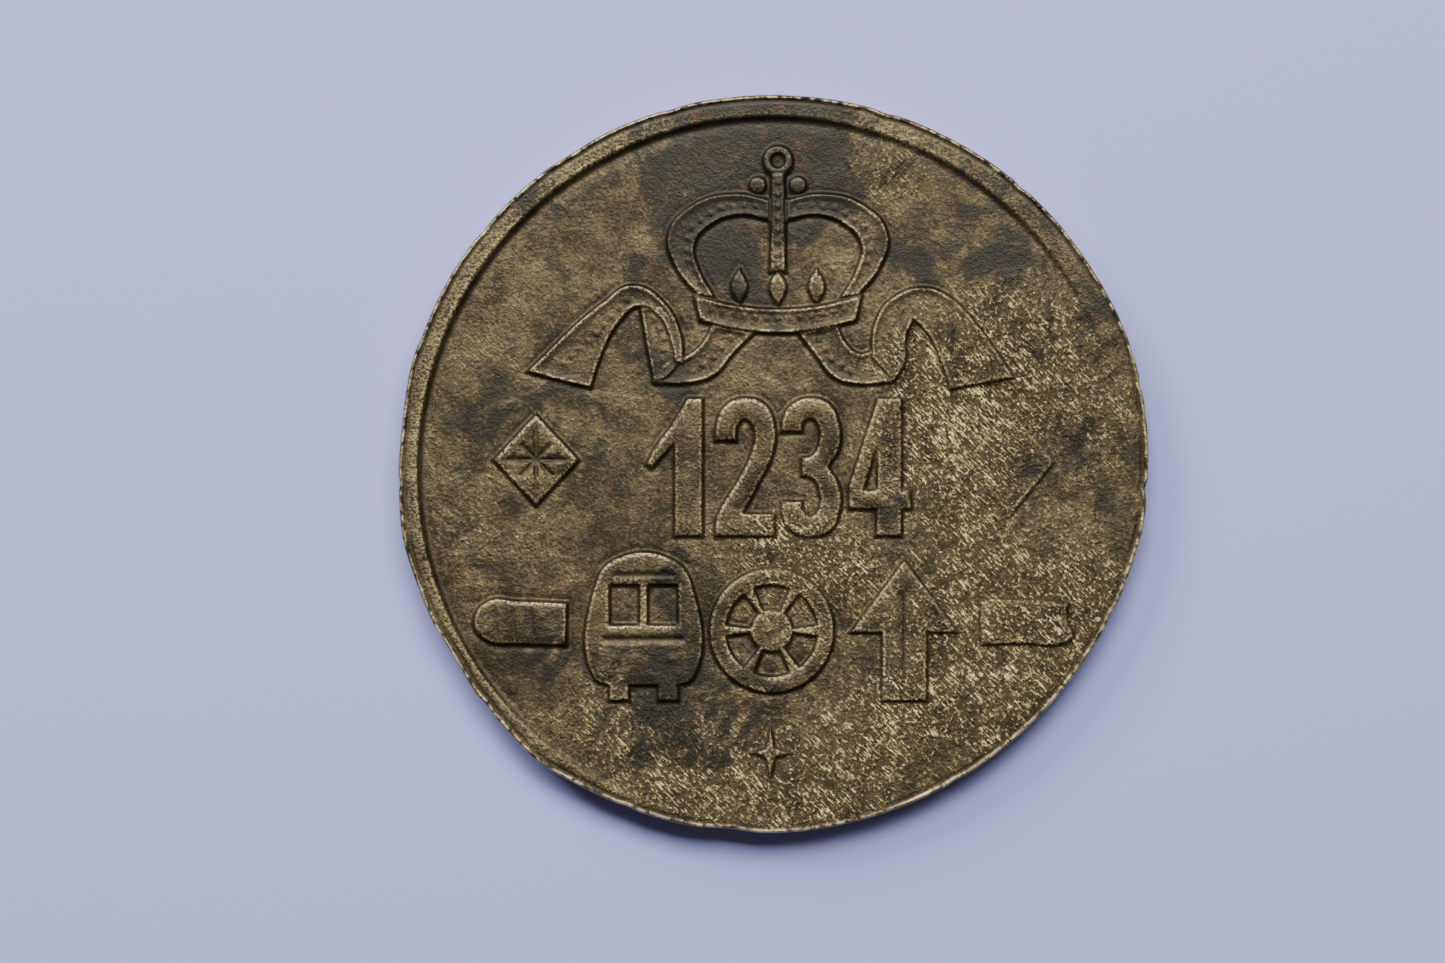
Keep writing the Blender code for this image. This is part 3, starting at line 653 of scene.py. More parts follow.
def strip_rows(start, end, start_half, end_half, spacing, shares):
    """Rows of points along a straight strip, at the given shares of its half width."""
    run = end - start
    length = np.linalg.norm(run)
    across = np.array((-run[1], run[0])) / length
    along = np.linspace(0, 1, max(3, int(length / spacing)))
    half = start_half + (end_half - start_half) * along
    rows = [start + along[:, None] * run + (share * half)[:, None] * across for share in shares]
    return np.concatenate(rows)


def point_tree(points):
    """The points as a tree that finds the nearest ones."""
    tree = KDTree(len(points))
    for i, (x, y) in enumerate(points):
        tree.insert((x, y, 0), i)
    tree.balance()
    return tree


def spaced_out(points, gap):
    """The points, in order, less those nearer than the gap to one that comes before."""
    tree = point_tree(points)
    keep = np.ones(len(points), bool)
    for i, (x, y) in enumerate(points):
        if keep[i]:
            for _, j, _ in tree.find_range((x, y, 0), gap):
                if j > i:
                    keep[j] = False
    return points[keep]


def face_points(face, coarseness):
    """All points of one face, about its die's centre."""
    sets = [outline_rows(shape, ROW_SPACING * coarseness) for shape in face.shapes]
    for groove in face.grooves:
        ends = np.array(groove.start), np.array(groove.end)
        sets.append(strip_rows(*ends, groove.start_half, groove.end_half, GROOVE_SPACING, GROOVE_SHARES))
    for line in face.beads:
        for start, end in zip(np.array(line), np.array(line)[1:]):
            sets.append(strip_rows(start, end, BEAD_ROW_HALF, BEAD_ROW_HALF, BEAD_SPACING, BEAD_SHARES))
    for offset in RIM_OFFSETS:
        radius = FIELD_RADIUS + offset
        sets.append(circle((0, 0), radius, int(2 * math.pi * radius / (RIM_SPACING * coarseness))))
    fine = spaced_out(np.concatenate(sets), POINT_GAP * coarseness)

    spacing = FIELD_SPACING * coarseness
    across = np.arange(-GRID_REACH, GRID_REACH, spacing)
    lines = enumerate(across * 1.15)
    grid = np.array([(x + (j % 2) * spacing / 2, y * 0.866) for j, y in lines for x in across])
    grid += np.random.default_rng(GRID_SEED).uniform(-GRID_JITTER, GRID_JITTER, grid.shape) * spacing
    tree = point_tree(fine)
    clear = [tree.find((x, y, 0))[2] > GRID_GAP * spacing for x, y in grid]
    return np.concatenate((fine, grid[clear]))


# ---- The strike: how high the metal stands at any place.

LAYER_DROP = 0.03
TROUGH_DEPTH = 0.014
RIM_TROUGH_DEPTH = 0.03
CRACK_DEPTH = 0.045
# Bands beside a shape's outline, as place and width or as low and high. Inwards is positive.
# FOOT_LINE and BORDER_LINE place the dark lines of dirt and painted shade at a shape's foot and inside its
# border.
FOOT_LINE, TROUGH, SHOULDER_LINE = (-0.025, 0.038), (-0.11, 0.06), (0.11, 0.06)
BORDER_SLOPE, BORDER_LINE = (0.15, 0.25), (0.21, 0.045)
# Bands beside the rim's inner edge. Outwards is positive.
# RIM_FOOT places a dark band of dirt and painted shade at the foot of the rim's inner step.
RIM_STEP, RIM_TROUGH, RIM_FOOT, RIM_SHOULDER = (-0.09, 0.13), (-0.15, 0.11), (-0.06, 0.09), (0.17, 0.10)
# Bands inside the token's own edge, as place and width.
# The crack at CRACK_BAND is darkened as well, with dirt and painted shade.
LIP_BAND, CRACK_BAND = (0.11, 0.06), (0.25, 0.05)
# Where the skin is dark, and where it is worn through to bare metal, which also lays a painted highlight of
# lighter skin and glitter, mostly over the right and lower part of the obverse: place, reach and strength.
# Those lying 12 to 13.5 mm up together make the whole band along the top darker.
TARNISHED_PLACES = [
    (-1.5, 12.9, 3.2, 0.9), (1.8, 12.4, 1.8, 0.8), (0.4, 10.6, 1.5, 0.7), (-2.5, 9.0, 1.9, 0.9),
    (-1.2, 6.4, 1.6, 0.7), (-4.0, 4.6, 1.9, 0.7), (-3.8, -8.9, 2.4, 1.1), (-0.8, -9.0, 2.0, 0.7),
    (-3.6, -4.6, 2.2, 0.6), (9.4, 7.8, 1.2, 0.8), (4.6, 9.0, 1.2, 0.5), (-6.3, 0.9, 1.5, 0.6),
    (4.2, -1.6, 1.4, 0.7), (12.1, -1.2, 1.1, 0.5), (10.3, 0.4, 0.9, 0.6), (-10.4, 3.2, 1.5, 0.5),
    (-7.6, -7.8, 1.2, 0.4), (6.4, -6.8, 1.4, 0.4), (0.5, 12.6, 5.5, 0.5), (-8.0, 8.2, 3.5, 0.35),
    (9.6, 9.8, 2.6, 0.5), (12.8, 5.0, 2.0, 0.4), (-2.0, 13.4, 2.6, 0.4),
]
RUBBED_AND_HIGHLIGHT_PLACES = [
    (6.2, 1.3, 1.5, 1.4), (5.6, 4.3, 1.1, 1.3), (8.0, 2.4, 2.1, 1.2), (7.4, -0.9, 1.6, 1.0),
    (10.8, 4.8, 2.2, 0.6), (12.3, -5.0, 1.5, 0.8), (8.6, -9.0, 2.3, 0.7), (4.9, -9.6, 1.7, 0.9),
    (2.8, -4.0, 1.3, 0.7), (7.4, -5.2, 1.7, 0.6), (0.3, -2.9, 1.2, 0.8), (9.6, -7.0, 3.4, 0.6),
    (4.4, 11.6, 1.7, 0.4), (-3.5, -12.3, 2.8, 0.6), (2.2, -12.6, 2.4, 0.7), (12.8, 1.6, 1.8, 0.5),
    (-6.4, -9.9, 2.0, 0.4), (8.4, 6.4, 1.6, 0.4), (8.5, -5.5, 5.0, 0.35), (0.0, -12.6, 4.5, 0.3),
    (0.5, -3.6, 3.0, 0.3), (-11.0, -2.0, 3.0, 0.2), (7.0, 2.5, 3.2, 0.3),
]


def patches(points, places):
    """A smooth sum of round patches at the given places."""
    total = np.zeros(len(points))
    for x, y, reach, strength in places:
        total += strength * bell(np.hypot(points[:, 0] - x, points[:, 1] - y), 0, reach)
    return total


class Face:
    """One face of the token: its shapes, and the height and colour masks at any place on it."""

    def __init__(self, drawing, centre, relief, sizes, up):
        self.shapes, self.grooves, self.beads = drawing
        self.centre = centre
        self.relief = relief / MM
        self.wall = sizes.wall_width / MM
        self.lip = sizes.lip_height / MM
        self.up = up

    def strike(self, local):
        """Height of the shapes above the field, and how much each point is foot or shoulder."""
        height, foot, shoulder = np.zeros((3, len(local)))
        struck = []
        for shape in self.shapes:
            distance = shape_distance(local, shape)
            near = np.flatnonzero(distance > FAR)
            d = distance[near]
            turn = np.clip(d / shape.shoulder, 0, 1)
            crown = 1 - shape.dome + shape.dome * np.sqrt(1 - (1 - turn) ** 2)
            level = (self.relief - shape.layer * LAYER_DROP) * shape.share * crown
            level = level * smoothstep(d, -self.wall / 2, self.wall / 2)
            level -= shape.border * smoothstep(d, *BORDER_SLOPE)
            struck.append((near, d, level, shape))
            height[near] = np.maximum(height[near], level)
        # The foot mask is a dark line of dirt and painted shade at the foot of each shape and inside its
        # border.
        for near, d, level, shape in struck:
            shown = smoothstep(level - height[near], -0.03, -0.005)
            strength = min(1.0, 3.5 * shape.share)
            line = 0.8 * bell(d, *FOOT_LINE) * np.where(d > 0, shown, 1)
            if shape.border:
                line = np.maximum(line, 0.5 * bell(d, *BORDER_LINE) * shown)
            foot[near] = np.maximum(foot[near], strength * line)
            shoulder[near] = np.maximum(shoulder[near], strength * bell(d, *SHOULDER_LINE) * shown)
            trough = bell(d, *TROUGH) * (height[near] < 0.02)
            height[near] -= TROUGH_DEPTH * strength * trough
        cut = np.zeros(len(local))
        for groove in self.grooves:
            start, end = np.array(groove.start), np.array(groove.end)
            run = end - start
            along = np.clip(((local - start) @ run) / (run @ run), 0, 1)
            gap = np.linalg.norm(local - start - along[:, None] * run, axis=1)
            half = groove.start_half + (groove.end_half - groove.start_half) * along
            share = np.clip(1 - gap / half, 0, 1)
            cut = np.maximum(cut, groove.depth * share)
            # Each groove is darkened in the foot mask too, with dirt and painted shade.
            foot = np.maximum(foot, 0.7 * smoothstep(share, 0.3, 0.9))
            shoulder *= 1 - share
        return height - cut, foot, shoulder

    def surface(self, points, middle):
        """Height and masks at each point, from the field out over the rounded edge."""
        local = points - self.centre
        height, foot, shoulder = self.strike(local)
        blank = points + middle
        angle = np.arctan2(blank[:, 1], blank[:, 0])
        inset = blank_outline(angle) - np.linalg.norm(blank, axis=1)

        land = np.full(len(points), self.lip)
        if self.up:
            across = np.linalg.norm(points, axis=1) * np.cos(angle - DEEP_ANGLE) / (BLANK_RADIUS - 0.22)
            land = THICKNESS - self.lip - RIM_SLOPE * (1 - across) / 2
        field = FIELD_HEIGHT if self.up else REVERSE_FIELD_HEIGHT
        deep = smoothstep(np.abs(land - field), 0.03, 0.18)
        past = np.linalg.norm(local, axis=1) - FIELD_RADIUS
        step = smoothstep(past, *RIM_STEP)
        sign = 1 if self.up else -1
        level = field + sign * (height - RIM_TROUGH_DEPTH * bell(past, *RIM_TROUGH) * deep)
        level = level * (1 - step) + land * step

        seed = OBVERSE_SEED if self.up else REVERSE_SEED
        torn = np.clip(0.6 + 0.5 * wobble(angle, TORN_WAVES, seed), 0, 1)
        lip = self.lip * torn * bell(inset, *LIP_BAND)
        seam = 0.3 + 0.7 * smoothstep(wobble(angle, SEAM_WAVES, seed + 1), -0.6, 0.2)
        crack = seam * bell(inset, *CRACK_BAND)
        inward = np.clip(EDGE_ROUND - inset, 0, EDGE_ROUND)
        rounding = EDGE_ROUND - np.sqrt(EDGE_ROUND**2 - inward**2)
        level += sign * (lip - CRACK_DEPTH * crack - rounding)

        # The foot of the rim's inner step and the crack inside the lip are darkened too, with dirt and
        # painted shade.
        foot = np.maximum(foot, 0.9 * bell(past, *RIM_FOOT) * deep)
        foot = np.maximum(foot, crack)
        shoulder = np.maximum(shoulder, 0.6 * bell(past, *RIM_SHOULDER) * deep)
        land_mask = deep * smoothstep(past, -0.02, 0.15) * (1 - smoothstep(-inset, -0.28, -0.20))
        edge = smoothstep(-inset, -0.21, -0.14) * (0.25 + 0.75 * torn)
        tarnish = patches(sign * local, TARNISHED_PLACES)
        # The rubbed patches are worn metal, and a painted highlight laid over the same places.
        rubbed = patches(sign * local, RUBBED_AND_HIGHLIGHT_PLACES) * (1 if self.up else 0.5)
        side = smoothstep(-inset, -0.06, 0.0)
        return level, foot, shoulder, land_mask, edge * (1 - side), side, tarnish, rubbed


# The foot mask is dirt and painted shade.
# The rubbed mask is worn metal and a painted highlight.
MASKS = ("foot", "shoulder", "land", "edge", "side", "tarnish", "rubbed")


def build_token_mesh(faces, middle, coarseness):
    """The closed mesh: each face, the rings that take it over the rounded edge, and the side wall."""
    turn = np.linspace(0, 2 * np.pi, RING_POINTS, endpoint=False)
    outline = blank_outline(turn)
    heading = np.stack((np.cos(turn), np.sin(turn)), axis=1)
    places, marks, polygons, rims = [], [], [], []

    def add_points(flat, level, *masks):
        start = sum(len(block) for block in places)
        places.append(np.column_stack((flat, level)))
        marks.append(np.column_stack(masks))
        return start

    for face in faces:
        flat = face_points(face, 1.0 if face.up else coarseness) + face.centre
        blank = flat + middle
        inset = blank_outline(np.arctan2(blank[:, 1], blank[:, 0])) - np.linalg.norm(blank, axis=1)
        ring = heading * (outline - RING_INSETS[0])[:, None] - middle
        flat = np.concatenate((ring, flat[inset > RING_INSETS[0] + 0.05]))
        edges = [(i, (i + 1) % RING_POINTS) for i in range(RING_POINTS)]
        made = delaunay_2d_cdt([Vector(point) for point in flat], edges, [], 1, 1e-6)
        new_index = {old: new for new, sources in enumerate(made[3]) for old in sources}
        flat = np.array([vertex[:] for vertex in made[0]])
        start = add_points(flat, *face.surface(flat, middle))
        way = 1 if face.up else -1
        polygons += [tuple(start + i for i in triangle[::way]) for triangle in made[2]]
        rings = [[start + new_index[i] for i in range(RING_POINTS)]]
        for inset in RING_INSETS[1:]:
            flat = heading * (outline - inset)[:, None] - middle
            start = add_points(flat, *face.surface(flat, middle))
            rings.append(list(range(start, start + RING_POINTS)))
        rims.append(rings)

    joined = np.concatenate(places)
    top, bottom = joined[rims[0][-1], 2], joined[rims[1][-1], 2]
    tears = wobble(turn, TEAR_WAVES, TEAR_SEED)
    none = np.zeros(RING_POINTS)
    sides = []
    for share in np.linspace(0, 1, SIDE_RINGS + 2)[1:-1]:
        drift = wobble(turn + 0.004 * share, DRIFT_WAVES, DRIFT_SEED)
        sink = np.clip(0.012 + 0.009 * tears + 0.006 * drift, 0, 0.04) * math.sin(math.pi * share)
        flat = heading * (outline - sink)[:, None] - middle
        start = add_points(flat, top + (bottom - top) * share, none, none, none, none, none + 1, none, none)
        sides.append(list(range(start, start + RING_POINTS)))
    rings = rims[0] + sides + rims[1][::-1]
    for upper, lower in zip(rings, rings[1:]):
        for i in range(RING_POINTS):
            j = (i + 1) % RING_POINTS
            polygons.append((upper[i], lower[i], lower[j], upper[j]))

    mesh = bpy.data.meshes.new("token")
    mesh.from_pydata((np.concatenate(places) * MM).tolist(), [], polygons)
    for name, values in zip(MASKS, np.concatenate(marks).T):
        mesh.attributes.new(name, "FLOAT", "POINT").data.foreach_set("value", values.astype(np.float32))
    mesh.update()
    return mesh


# ---- Geometry nodes on the struck surface.


def bead_tree(material):
    """Geometry nodes: raises a round bead at even steps along each guide line, on the obverse."""
    kinds = {"Token": "Geometry", "Guides": "Object"}
    kinds |= dict.fromkeys(("Bead spacing", "Bead radius", "Bead height"), "Float")
    tree, given = new_tree("Bead rows", kinds)
    math_node = "ShaderNodeMath"
    guides = add_node(tree, "GeometryNodeObjectInfo", {"Object": given["Guides"]}, "Geometry")
    steps = {"Curve": guides, "Length": given["Bead spacing"]}
    steps = add_node(tree, "GeometryNodeResampleCurve", steps, mode="LENGTH")
    points = add_node(tree, "GeometryNodeCurveToPoints", {"Curve": steps}, mode="EVALUATED")
    place = add_node(tree, "GeometryNodeInputPosition")
    place = add_node(tree, "ShaderNodeSeparateXYZ", {0: place}).node.outputs
    flat = add_node(tree, "ShaderNodeCombineXYZ", {0: place[0], 1: place[1]})
    nearest = {0: points, "Sample Position": flat}
    gap = add_node(tree, "GeometryNodeProximity", nearest, "Distance", target_element="POINTS")
    share = add_node(tree, math_node, {0: gap, 1: given["Bead radius"]}, operation="DIVIDE")
    inside = add_node(tree, math_node, {0: 1.0, 1: share}, operation="SUBTRACT", use_clamp=True)
    rise = add_node(tree, math_node, {0: inside, 1: 0.6}, operation="POWER")
    lift = add_node(tree, math_node, {0: rise, 1: given["Bead height"]}, operation="MULTIPLY")
    upper = add_node(tree, math_node, {0: place[2], 1: 0.5 * DISC_HIGH.z}, operation="GREATER_THAN")
    offset = add_node(tree, "ShaderNodeCombineXYZ", {2: lift})
    raised = {0: given["Token"], "Selection": upper, "Offset": offset}
    return end_tree(tree, add_node(tree, "GeometryNodeSetPosition", raised), material)


def wear_tree(material):
    """Geometry nodes: shallow dents and an uneven skin, always sunk inwards along the surface normal."""
    kinds = dict.fromkeys(("Dent size", "Dent depth", "Grain size", "Grain depth", "Seed"), "Float")
    tree, given = new_tree("Wear", {"Token": "Geometry", **kinds})
    math_node = "ShaderNodeMath"
    place = add_node(tree, "GeometryNodeInputPosition")
    total = 0.0
    for size, depth in (("Dent size", "Dent depth"), ("Grain size", "Grain depth")):
        scale = add_node(tree, math_node, {0: 1.0, 1: given[size]}, operation="DIVIDE")
        noise = add_node(tree, "ShaderNodeTexNoise", {
            "Vector": place, "W": given["Seed"], "Scale": scale, "Detail": 2.0}, noise_dimensions="4D")
        total = add_node(tree, math_node, {0: noise, 1: given[depth], 2: total}, operation="MULTIPLY_ADD")
    inward = add_node(tree, math_node, {0: total, 1: -1.0}, operation="MULTIPLY")
    normal = add_node(tree, "GeometryNodeInputNormal")
    offset = add_node(tree, "ShaderNodeVectorMath", {0: normal, "Scale": inward}, operation="SCALE")
    worn = add_node(tree, "GeometryNodeSetPosition", {0: given["Token"], "Offset": offset})
    return end_tree(tree, worn, material)


def make_plain(obj):
    """Works the object's modifiers into a plain mesh, which has to be closed."""
    graph = bpy.context.evaluated_depsgraph_get()
    mesh = bpy.data.meshes.new_from_object(obj.evaluated_get(graph))
    obj.modifiers.clear()
    obj.data = mesh
    bm = bmesh.new()
    bm.from_mesh(mesh)
    broken = sum(not edge.is_manifold for edge in bm.edges)
    bm.free()
    if broken:
        raise RuntimeError(f"{obj.name} isn't closed: {broken} edges don't have exactly two faces")


def guide_curves(lines, centre):
    """The bead rows' guides, as one object of open curves lying at height zero."""
    curve = bpy.data.curves.new("bead_guides", "CURVE")
    curve.dimensions = "3D"
    for line in lines:
        spline = curve.splines.new("POLY")
        spline.points.add(len(line) - 1)
        for point, (x, y) in zip(spline.points, line):
            point.co = ((x + centre[0]) * MM, (y + centre[1]) * MM, 0, 1)
    guides = bpy.data.objects.new("bead_guides", curve)
    bpy.context.scene.collection.objects.link(guides)
    return guides


# ---- Materials.


def tarnished_brass(colours):
    """Struck brass with a century of tarnish: yellow metal under an olive-brown oxide skin.

    The eye sees a mottled skin with grey-brown clouds, old dirt and painted shade at the foot of the relief,
    a fine glitter of bare grains, and slanting bright scratches where handling has worn the skin through;
    the worn places also lay a painted highlight of lighter skin and glitter.
    """
    material = bpy.data.materials.new("struck_brass_tarnished")
    material.use_nodes = True
    tree = material.node_tree
    tree.nodes.clear()
    maths, ramp, mix = "ShaderNodeMath", "ShaderNodeMapRange", "ShaderNodeMix"
    noise, place = "ShaderNodeTexNoise", "ShaderNodeMapping"
    smooth = {"interpolation_type": "SMOOTHSTEP"}
    mask = {}
    for name in MASKS:
        mask[name] = add_node(tree, "ShaderNodeAttribute", None, "Fac", attribute_name=name)

    # One unit of these patterns is a millimetre.
    where = add_node(tree, "ShaderNodeTexCoord", None, "Object")
    mm = {"Vector": where, "Scale": (1000, 1000, 1000)}
    aside = add_node(tree, place, {**mm, "Location": (31, 7, 3)})
    # Scratches slant down to the right, about 0.4 mm long. They are drawn 0.07 mm wide, which is coarser
    # than the real hairlines, so that they show.
    slant = add_node(tree, place, {**mm, "Rotation": (0, 0, math.radians(46))})
    slant = add_node(tree, place, {"Vector": slant, "Scale": (2.4, 13.0, 4)})
    mm = add_node(tree, place, mm)

    # Grains are about 0.1 mm across, small stains 1 mm, and clouds and patches 2 to 3 mm.
    grain = {"Vector": mm, "Scale": 9.0, "Detail": 3.0, "Roughness": 0.6}
    cloud = {"Vector": mm, "Scale": 0.55, "Detail": 7.0, "Roughness": 0.66, "Distortion": 0.5}
    patch = {"Vector": aside, "Scale": 0.38, "Detail": 8.0, "Roughness": 0.7, "Distortion": 0.9}
    stain = {"Vector": aside, "Scale": 1.2, "Detail": 5.0, "Roughness": 0.6}
    scratch = {"Vector": slant, "Scale": 1.0, "Detail": 3.0, "Roughness": 0.6, "Distortion": 0.35}
    specks = {"Vector": aside, "Scale": 5.0, "Detail": 1.0}
    nicks = {"Vector": mm, "Scale": 3.2, "Detail": 3.0}
    noises = (grain, cloud, patch, stain, scratch, specks, nicks)
    grain, cloud, patch, stain, scratch, specks, nicks = [add_node(tree, noise, inputs) for inputs in noises]

    # The skin: two tones of patina, grey-brown clouds, red-brown stains and dark pits.
    # Where the rubbed mask is high, the patina is lighter: a painted highlight along with the wear.
    share = add_node(tree, maths, {0: mask["rubbed"], 1: 0.12, 2: cloud}, operation="MULTIPLY_ADD")
    share = add_node(tree, maths, {0: grain, 1: 0.4, 2: share}, operation="MULTIPLY_ADD")
    patina = add_node(tree, ramp, {0: share, 1: 0.55, 2: 0.84}, **smooth)
    share = add_node(tree, maths, {0: mask["tarnish"], 1: 0.20, 2: patch}, operation="MULTIPLY_ADD")
    clouded = add_node(tree, ramp, {0: share, 1: 0.57, 2: 0.68, 4: 0.9}, **smooth)
    dulled = add_node(tree, ramp, {0: stain, 1: 0.45, 2: 0.33, 4: 0.6}, **smooth)
    stained = add_node(tree, ramp, {0: stain, 1: 0.56, 2: 0.70, 4: 0.3}, **smooth)
    pits = add_node(tree, ramp, {0: mask["rubbed"], 3: 0.41, 4: 0.46})
    pits = add_node(tree, ramp, {0: grain, 1: pits, 2: 0.31, 4: 0.65}, **smooth)
    specks = add_node(tree, ramp, {0: specks, 1: 0.33, 2: 0.27, 4: 0.8}, **smooth)
    pits = add_node(tree, maths, {0: pits, 1: specks}, operation="MAXIMUM")
    fewer = add_node(tree, ramp, {0: mask["side"], 3: 1.0, 4: 0.3})
    pits = add_node(tree, maths, {0: pits, 1: fewer}, operation="MULTIPLY")

    # Bare metal: grains, scratches, the shoulders of the relief and the rim's land.
    # The rubbed mask also sets where bare grains and scratches show: worn metal, laid out as a painted
    # highlight too.
    rub = add_node(tree, maths, {0: mask["rubbed"], 1: 0.62, 2: cloud}, operation="MULTIPLY_ADD")
    rub = add_node(tree, ramp, {0: rub, 1: 0.50, 2: 1.08, 3: 0.05}, **smooth)
    fleck = add_node(tree, ramp, {0: grain, 1: 0.58, 2: 0.70}, **smooth)
    line = add_node(tree, maths, {0: grain, 1: 0.4, 2: scratch}, operation="MULTIPLY_ADD")
    line = add_node(tree, maths, {0: stain, 1: 0.5, 2: line}, operation="MULTIPLY_ADD")
    line = add_node(tree, maths, {0: mask["rubbed"], 1: 0.045, 2: line}, operation="MULTIPLY_ADD")
    line = add_node(tree, ramp, {0: line, 1: 1.04, 2: 1.20}, **smooth)
    line = add_node(tree, maths, {0: line, 1: rub}, operation="MULTIPLY")
    flecks = add_node(tree, maths, {0: rub, 1: 0.9}, operation="MULTIPLY")
    flecks = add_node(tree, maths, {0: fleck, 1: flecks}, operation="MULTIPLY")
    worn = add_node(tree, maths, {0: mask["shoulder"], 1: 0.30}, operation="MULTIPLY")
    worn = add_node(tree, maths, {0: mask["land"], 1: 0.08, 2: worn}, operation="MULTIPLY_ADD")
    broken = add_node(tree, ramp, {0: grain, 1: 0.40, 2: 0.58}, **smooth)
    worn = add_node(tree, maths, {0: worn, 1: broken}, operation="MULTIPLY")
    bare = add_node(tree, maths, {0: line, 1: flecks}, operation="MAXIMUM")
    bare = add_node(tree, maths, {0: bare, 1: worn}, operation="MAXIMUM")
    clean = add_node(tree, maths, {0: clouded, 1: -0.9, 2: 1.0}, operation="MULTIPLY_ADD")
    clean = add_node(tree, maths, {0: clean, 1: mask["foot"]}, operation="SUBTRACT", use_clamp=True)
    bare = add_node(tree, maths, {0: bare, 1: clean}, operation="MULTIPLY")
    # The side wall keeps upright marks where the metal slid along its collar. They are drawn an eighth of
    # a millimetre apart, which is coarser than real, so that they show.
    upright = add_node(tree, place, {"Vector": where, "Scale": (8000, 8000, 900)})
    upright = add_node(tree, noise, {"Vector": upright, "Scale": 1.0, "Detail": 3.0, "Roughness": 0.6})
    upright = add_node(tree, ramp, {0: upright, 1: 0.25, 2: 0.80, 3: 0.05, 4: 0.5})
    upright = add_node(tree, maths, {0: upright, 1: mask["side"]}, operation="MULTIPLY")
    bare = add_node(tree, maths, {0: bare, 1: upright}, operation="MAXIMUM")

    # Over these, the nicked bright lip, and old dirt and painted shade at the foot of the relief.
    lip = add_node(tree, ramp, {0: nicks, 1: 0.40, 2: 0.58, 4: 0.85}, **smooth)
    lip = add_node(tree, maths, {0: lip, 1: mask["edge"]}, operation="MULTIPLY")
    # This darkens the foot of the relief, the grooves and the rim's step with dirt and painted shade, and
    # makes them rougher and less metallic.
    dirt_and_shade = add_node(tree, ramp, {0: cloud, 1: 0.30, 2: 0.60, 3: 0.4, 4: 0.8}, **smooth)
    dirt_and_shade = add_node(tree, maths, {0: dirt_and_shade, 1: mask["foot"]}, operation="MULTIPLY")

    skin = (*colours.patina_dark, 1)
    for share, colour in (
            (patina, colours.patina), (clouded, colours.tarnish), (dulled, colours.tarnish),
            (stained, colours.stain), (pits, colours.grime_and_shade), (bare, colours.brass),
            (lip, colours.brass_bright), (dirt_and_shade, colours.grime_and_shade)):
        skin = add_node(tree, mix, {0: share, 6: skin, 7: (*colour, 1)}, 2, data_type="RGBA")
    bare = add_node(tree, maths, {0: bare, 1: lip}, operation="MAXIMUM")
    rough = add_node(tree, ramp, {0: bare, 3: 0.42, 4: 0.27})
    rough = add_node(tree, maths, {0: dirt_and_shade, 1: 0.3, 2: rough}, operation="MULTIPLY_ADD", use_clamp=True)
    metal = add_node(tree, ramp, {0: bare, 3: 0.8, 4: 1.0})
    metal = add_node(tree, maths, {0: dirt_and_shade, 1: -0.4, 2: metal}, operation="MULTIPLY_ADD", use_clamp=True)

    # The relief of the skin itself: grains and scratches some hundredths of a millimetre deep.
    rise = add_node(tree, ramp, {0: rub, 3: 0.0, 4: 1.5})
    depth = add_node(tree, maths, {0: scratch, 1: rise}, operation="MULTIPLY")
    rise = add_node(tree, ramp, {0: rub, 3: 0.35, 4: 1.8})
    depth = add_node(tree, maths, {0: grain, 1: rise, 2: depth}, operation="MULTIPLY_ADD")
    bump = add_node(tree, "ShaderNodeBump", {"Strength": 1.0, "Distance": 0.00005, "Height": depth})
    shader = add_node(tree, "ShaderNodeBsdfPrincipled", {
        "Base Color": skin, "Metallic": metal, "Roughness": rough, "Normal": bump})
    add_node(tree, "ShaderNodeOutputMaterial", {0: shader})
    return material


def uncoated_card(colours):
    """Uncoated card: flat and even, with no gloss and the faintest tooth of fibres."""
    material = bpy.data.materials.new("uncoated_card")
    material.use_nodes = True
    tree = material.node_tree
    tree.nodes.clear()
    where = add_node(tree, "ShaderNodeTexCoord", None, "Object")
    # Paper fibres are about 0.2 mm across.
    fibre = add_node(tree, "ShaderNodeTexNoise", {"Vector": where, "Scale": 5000.0, "Detail": 2.0})
    bump = add_node(tree, "ShaderNodeBump", {"Strength": 0.15, "Distance": 0.00002, "Height": fibre})
    shader = add_node(tree, "ShaderNodeBsdfPrincipled", {
        "Base Color": (*colours.card, 1), "Roughness": 0.9, "Normal": bump})
    add_node(tree, "ShaderNodeOutputMaterial", {0: shader})
    return material


# ---- The add-on: settings, operators and panel.


def length_setting(name, description, millimetres):
    """A length that a user can change, kept in metres."""
    settings = {"default": millimetres * MM, "precision": 6, "unit": "LENGTH"}
    return FloatProperty(name=name, description=description, **settings)


def colour_setting(name, description, code):
    """A colour that a user can change."""
    return FloatVectorProperty(name=name, description=description, default=hex_colour(code), subtype="COLOR")


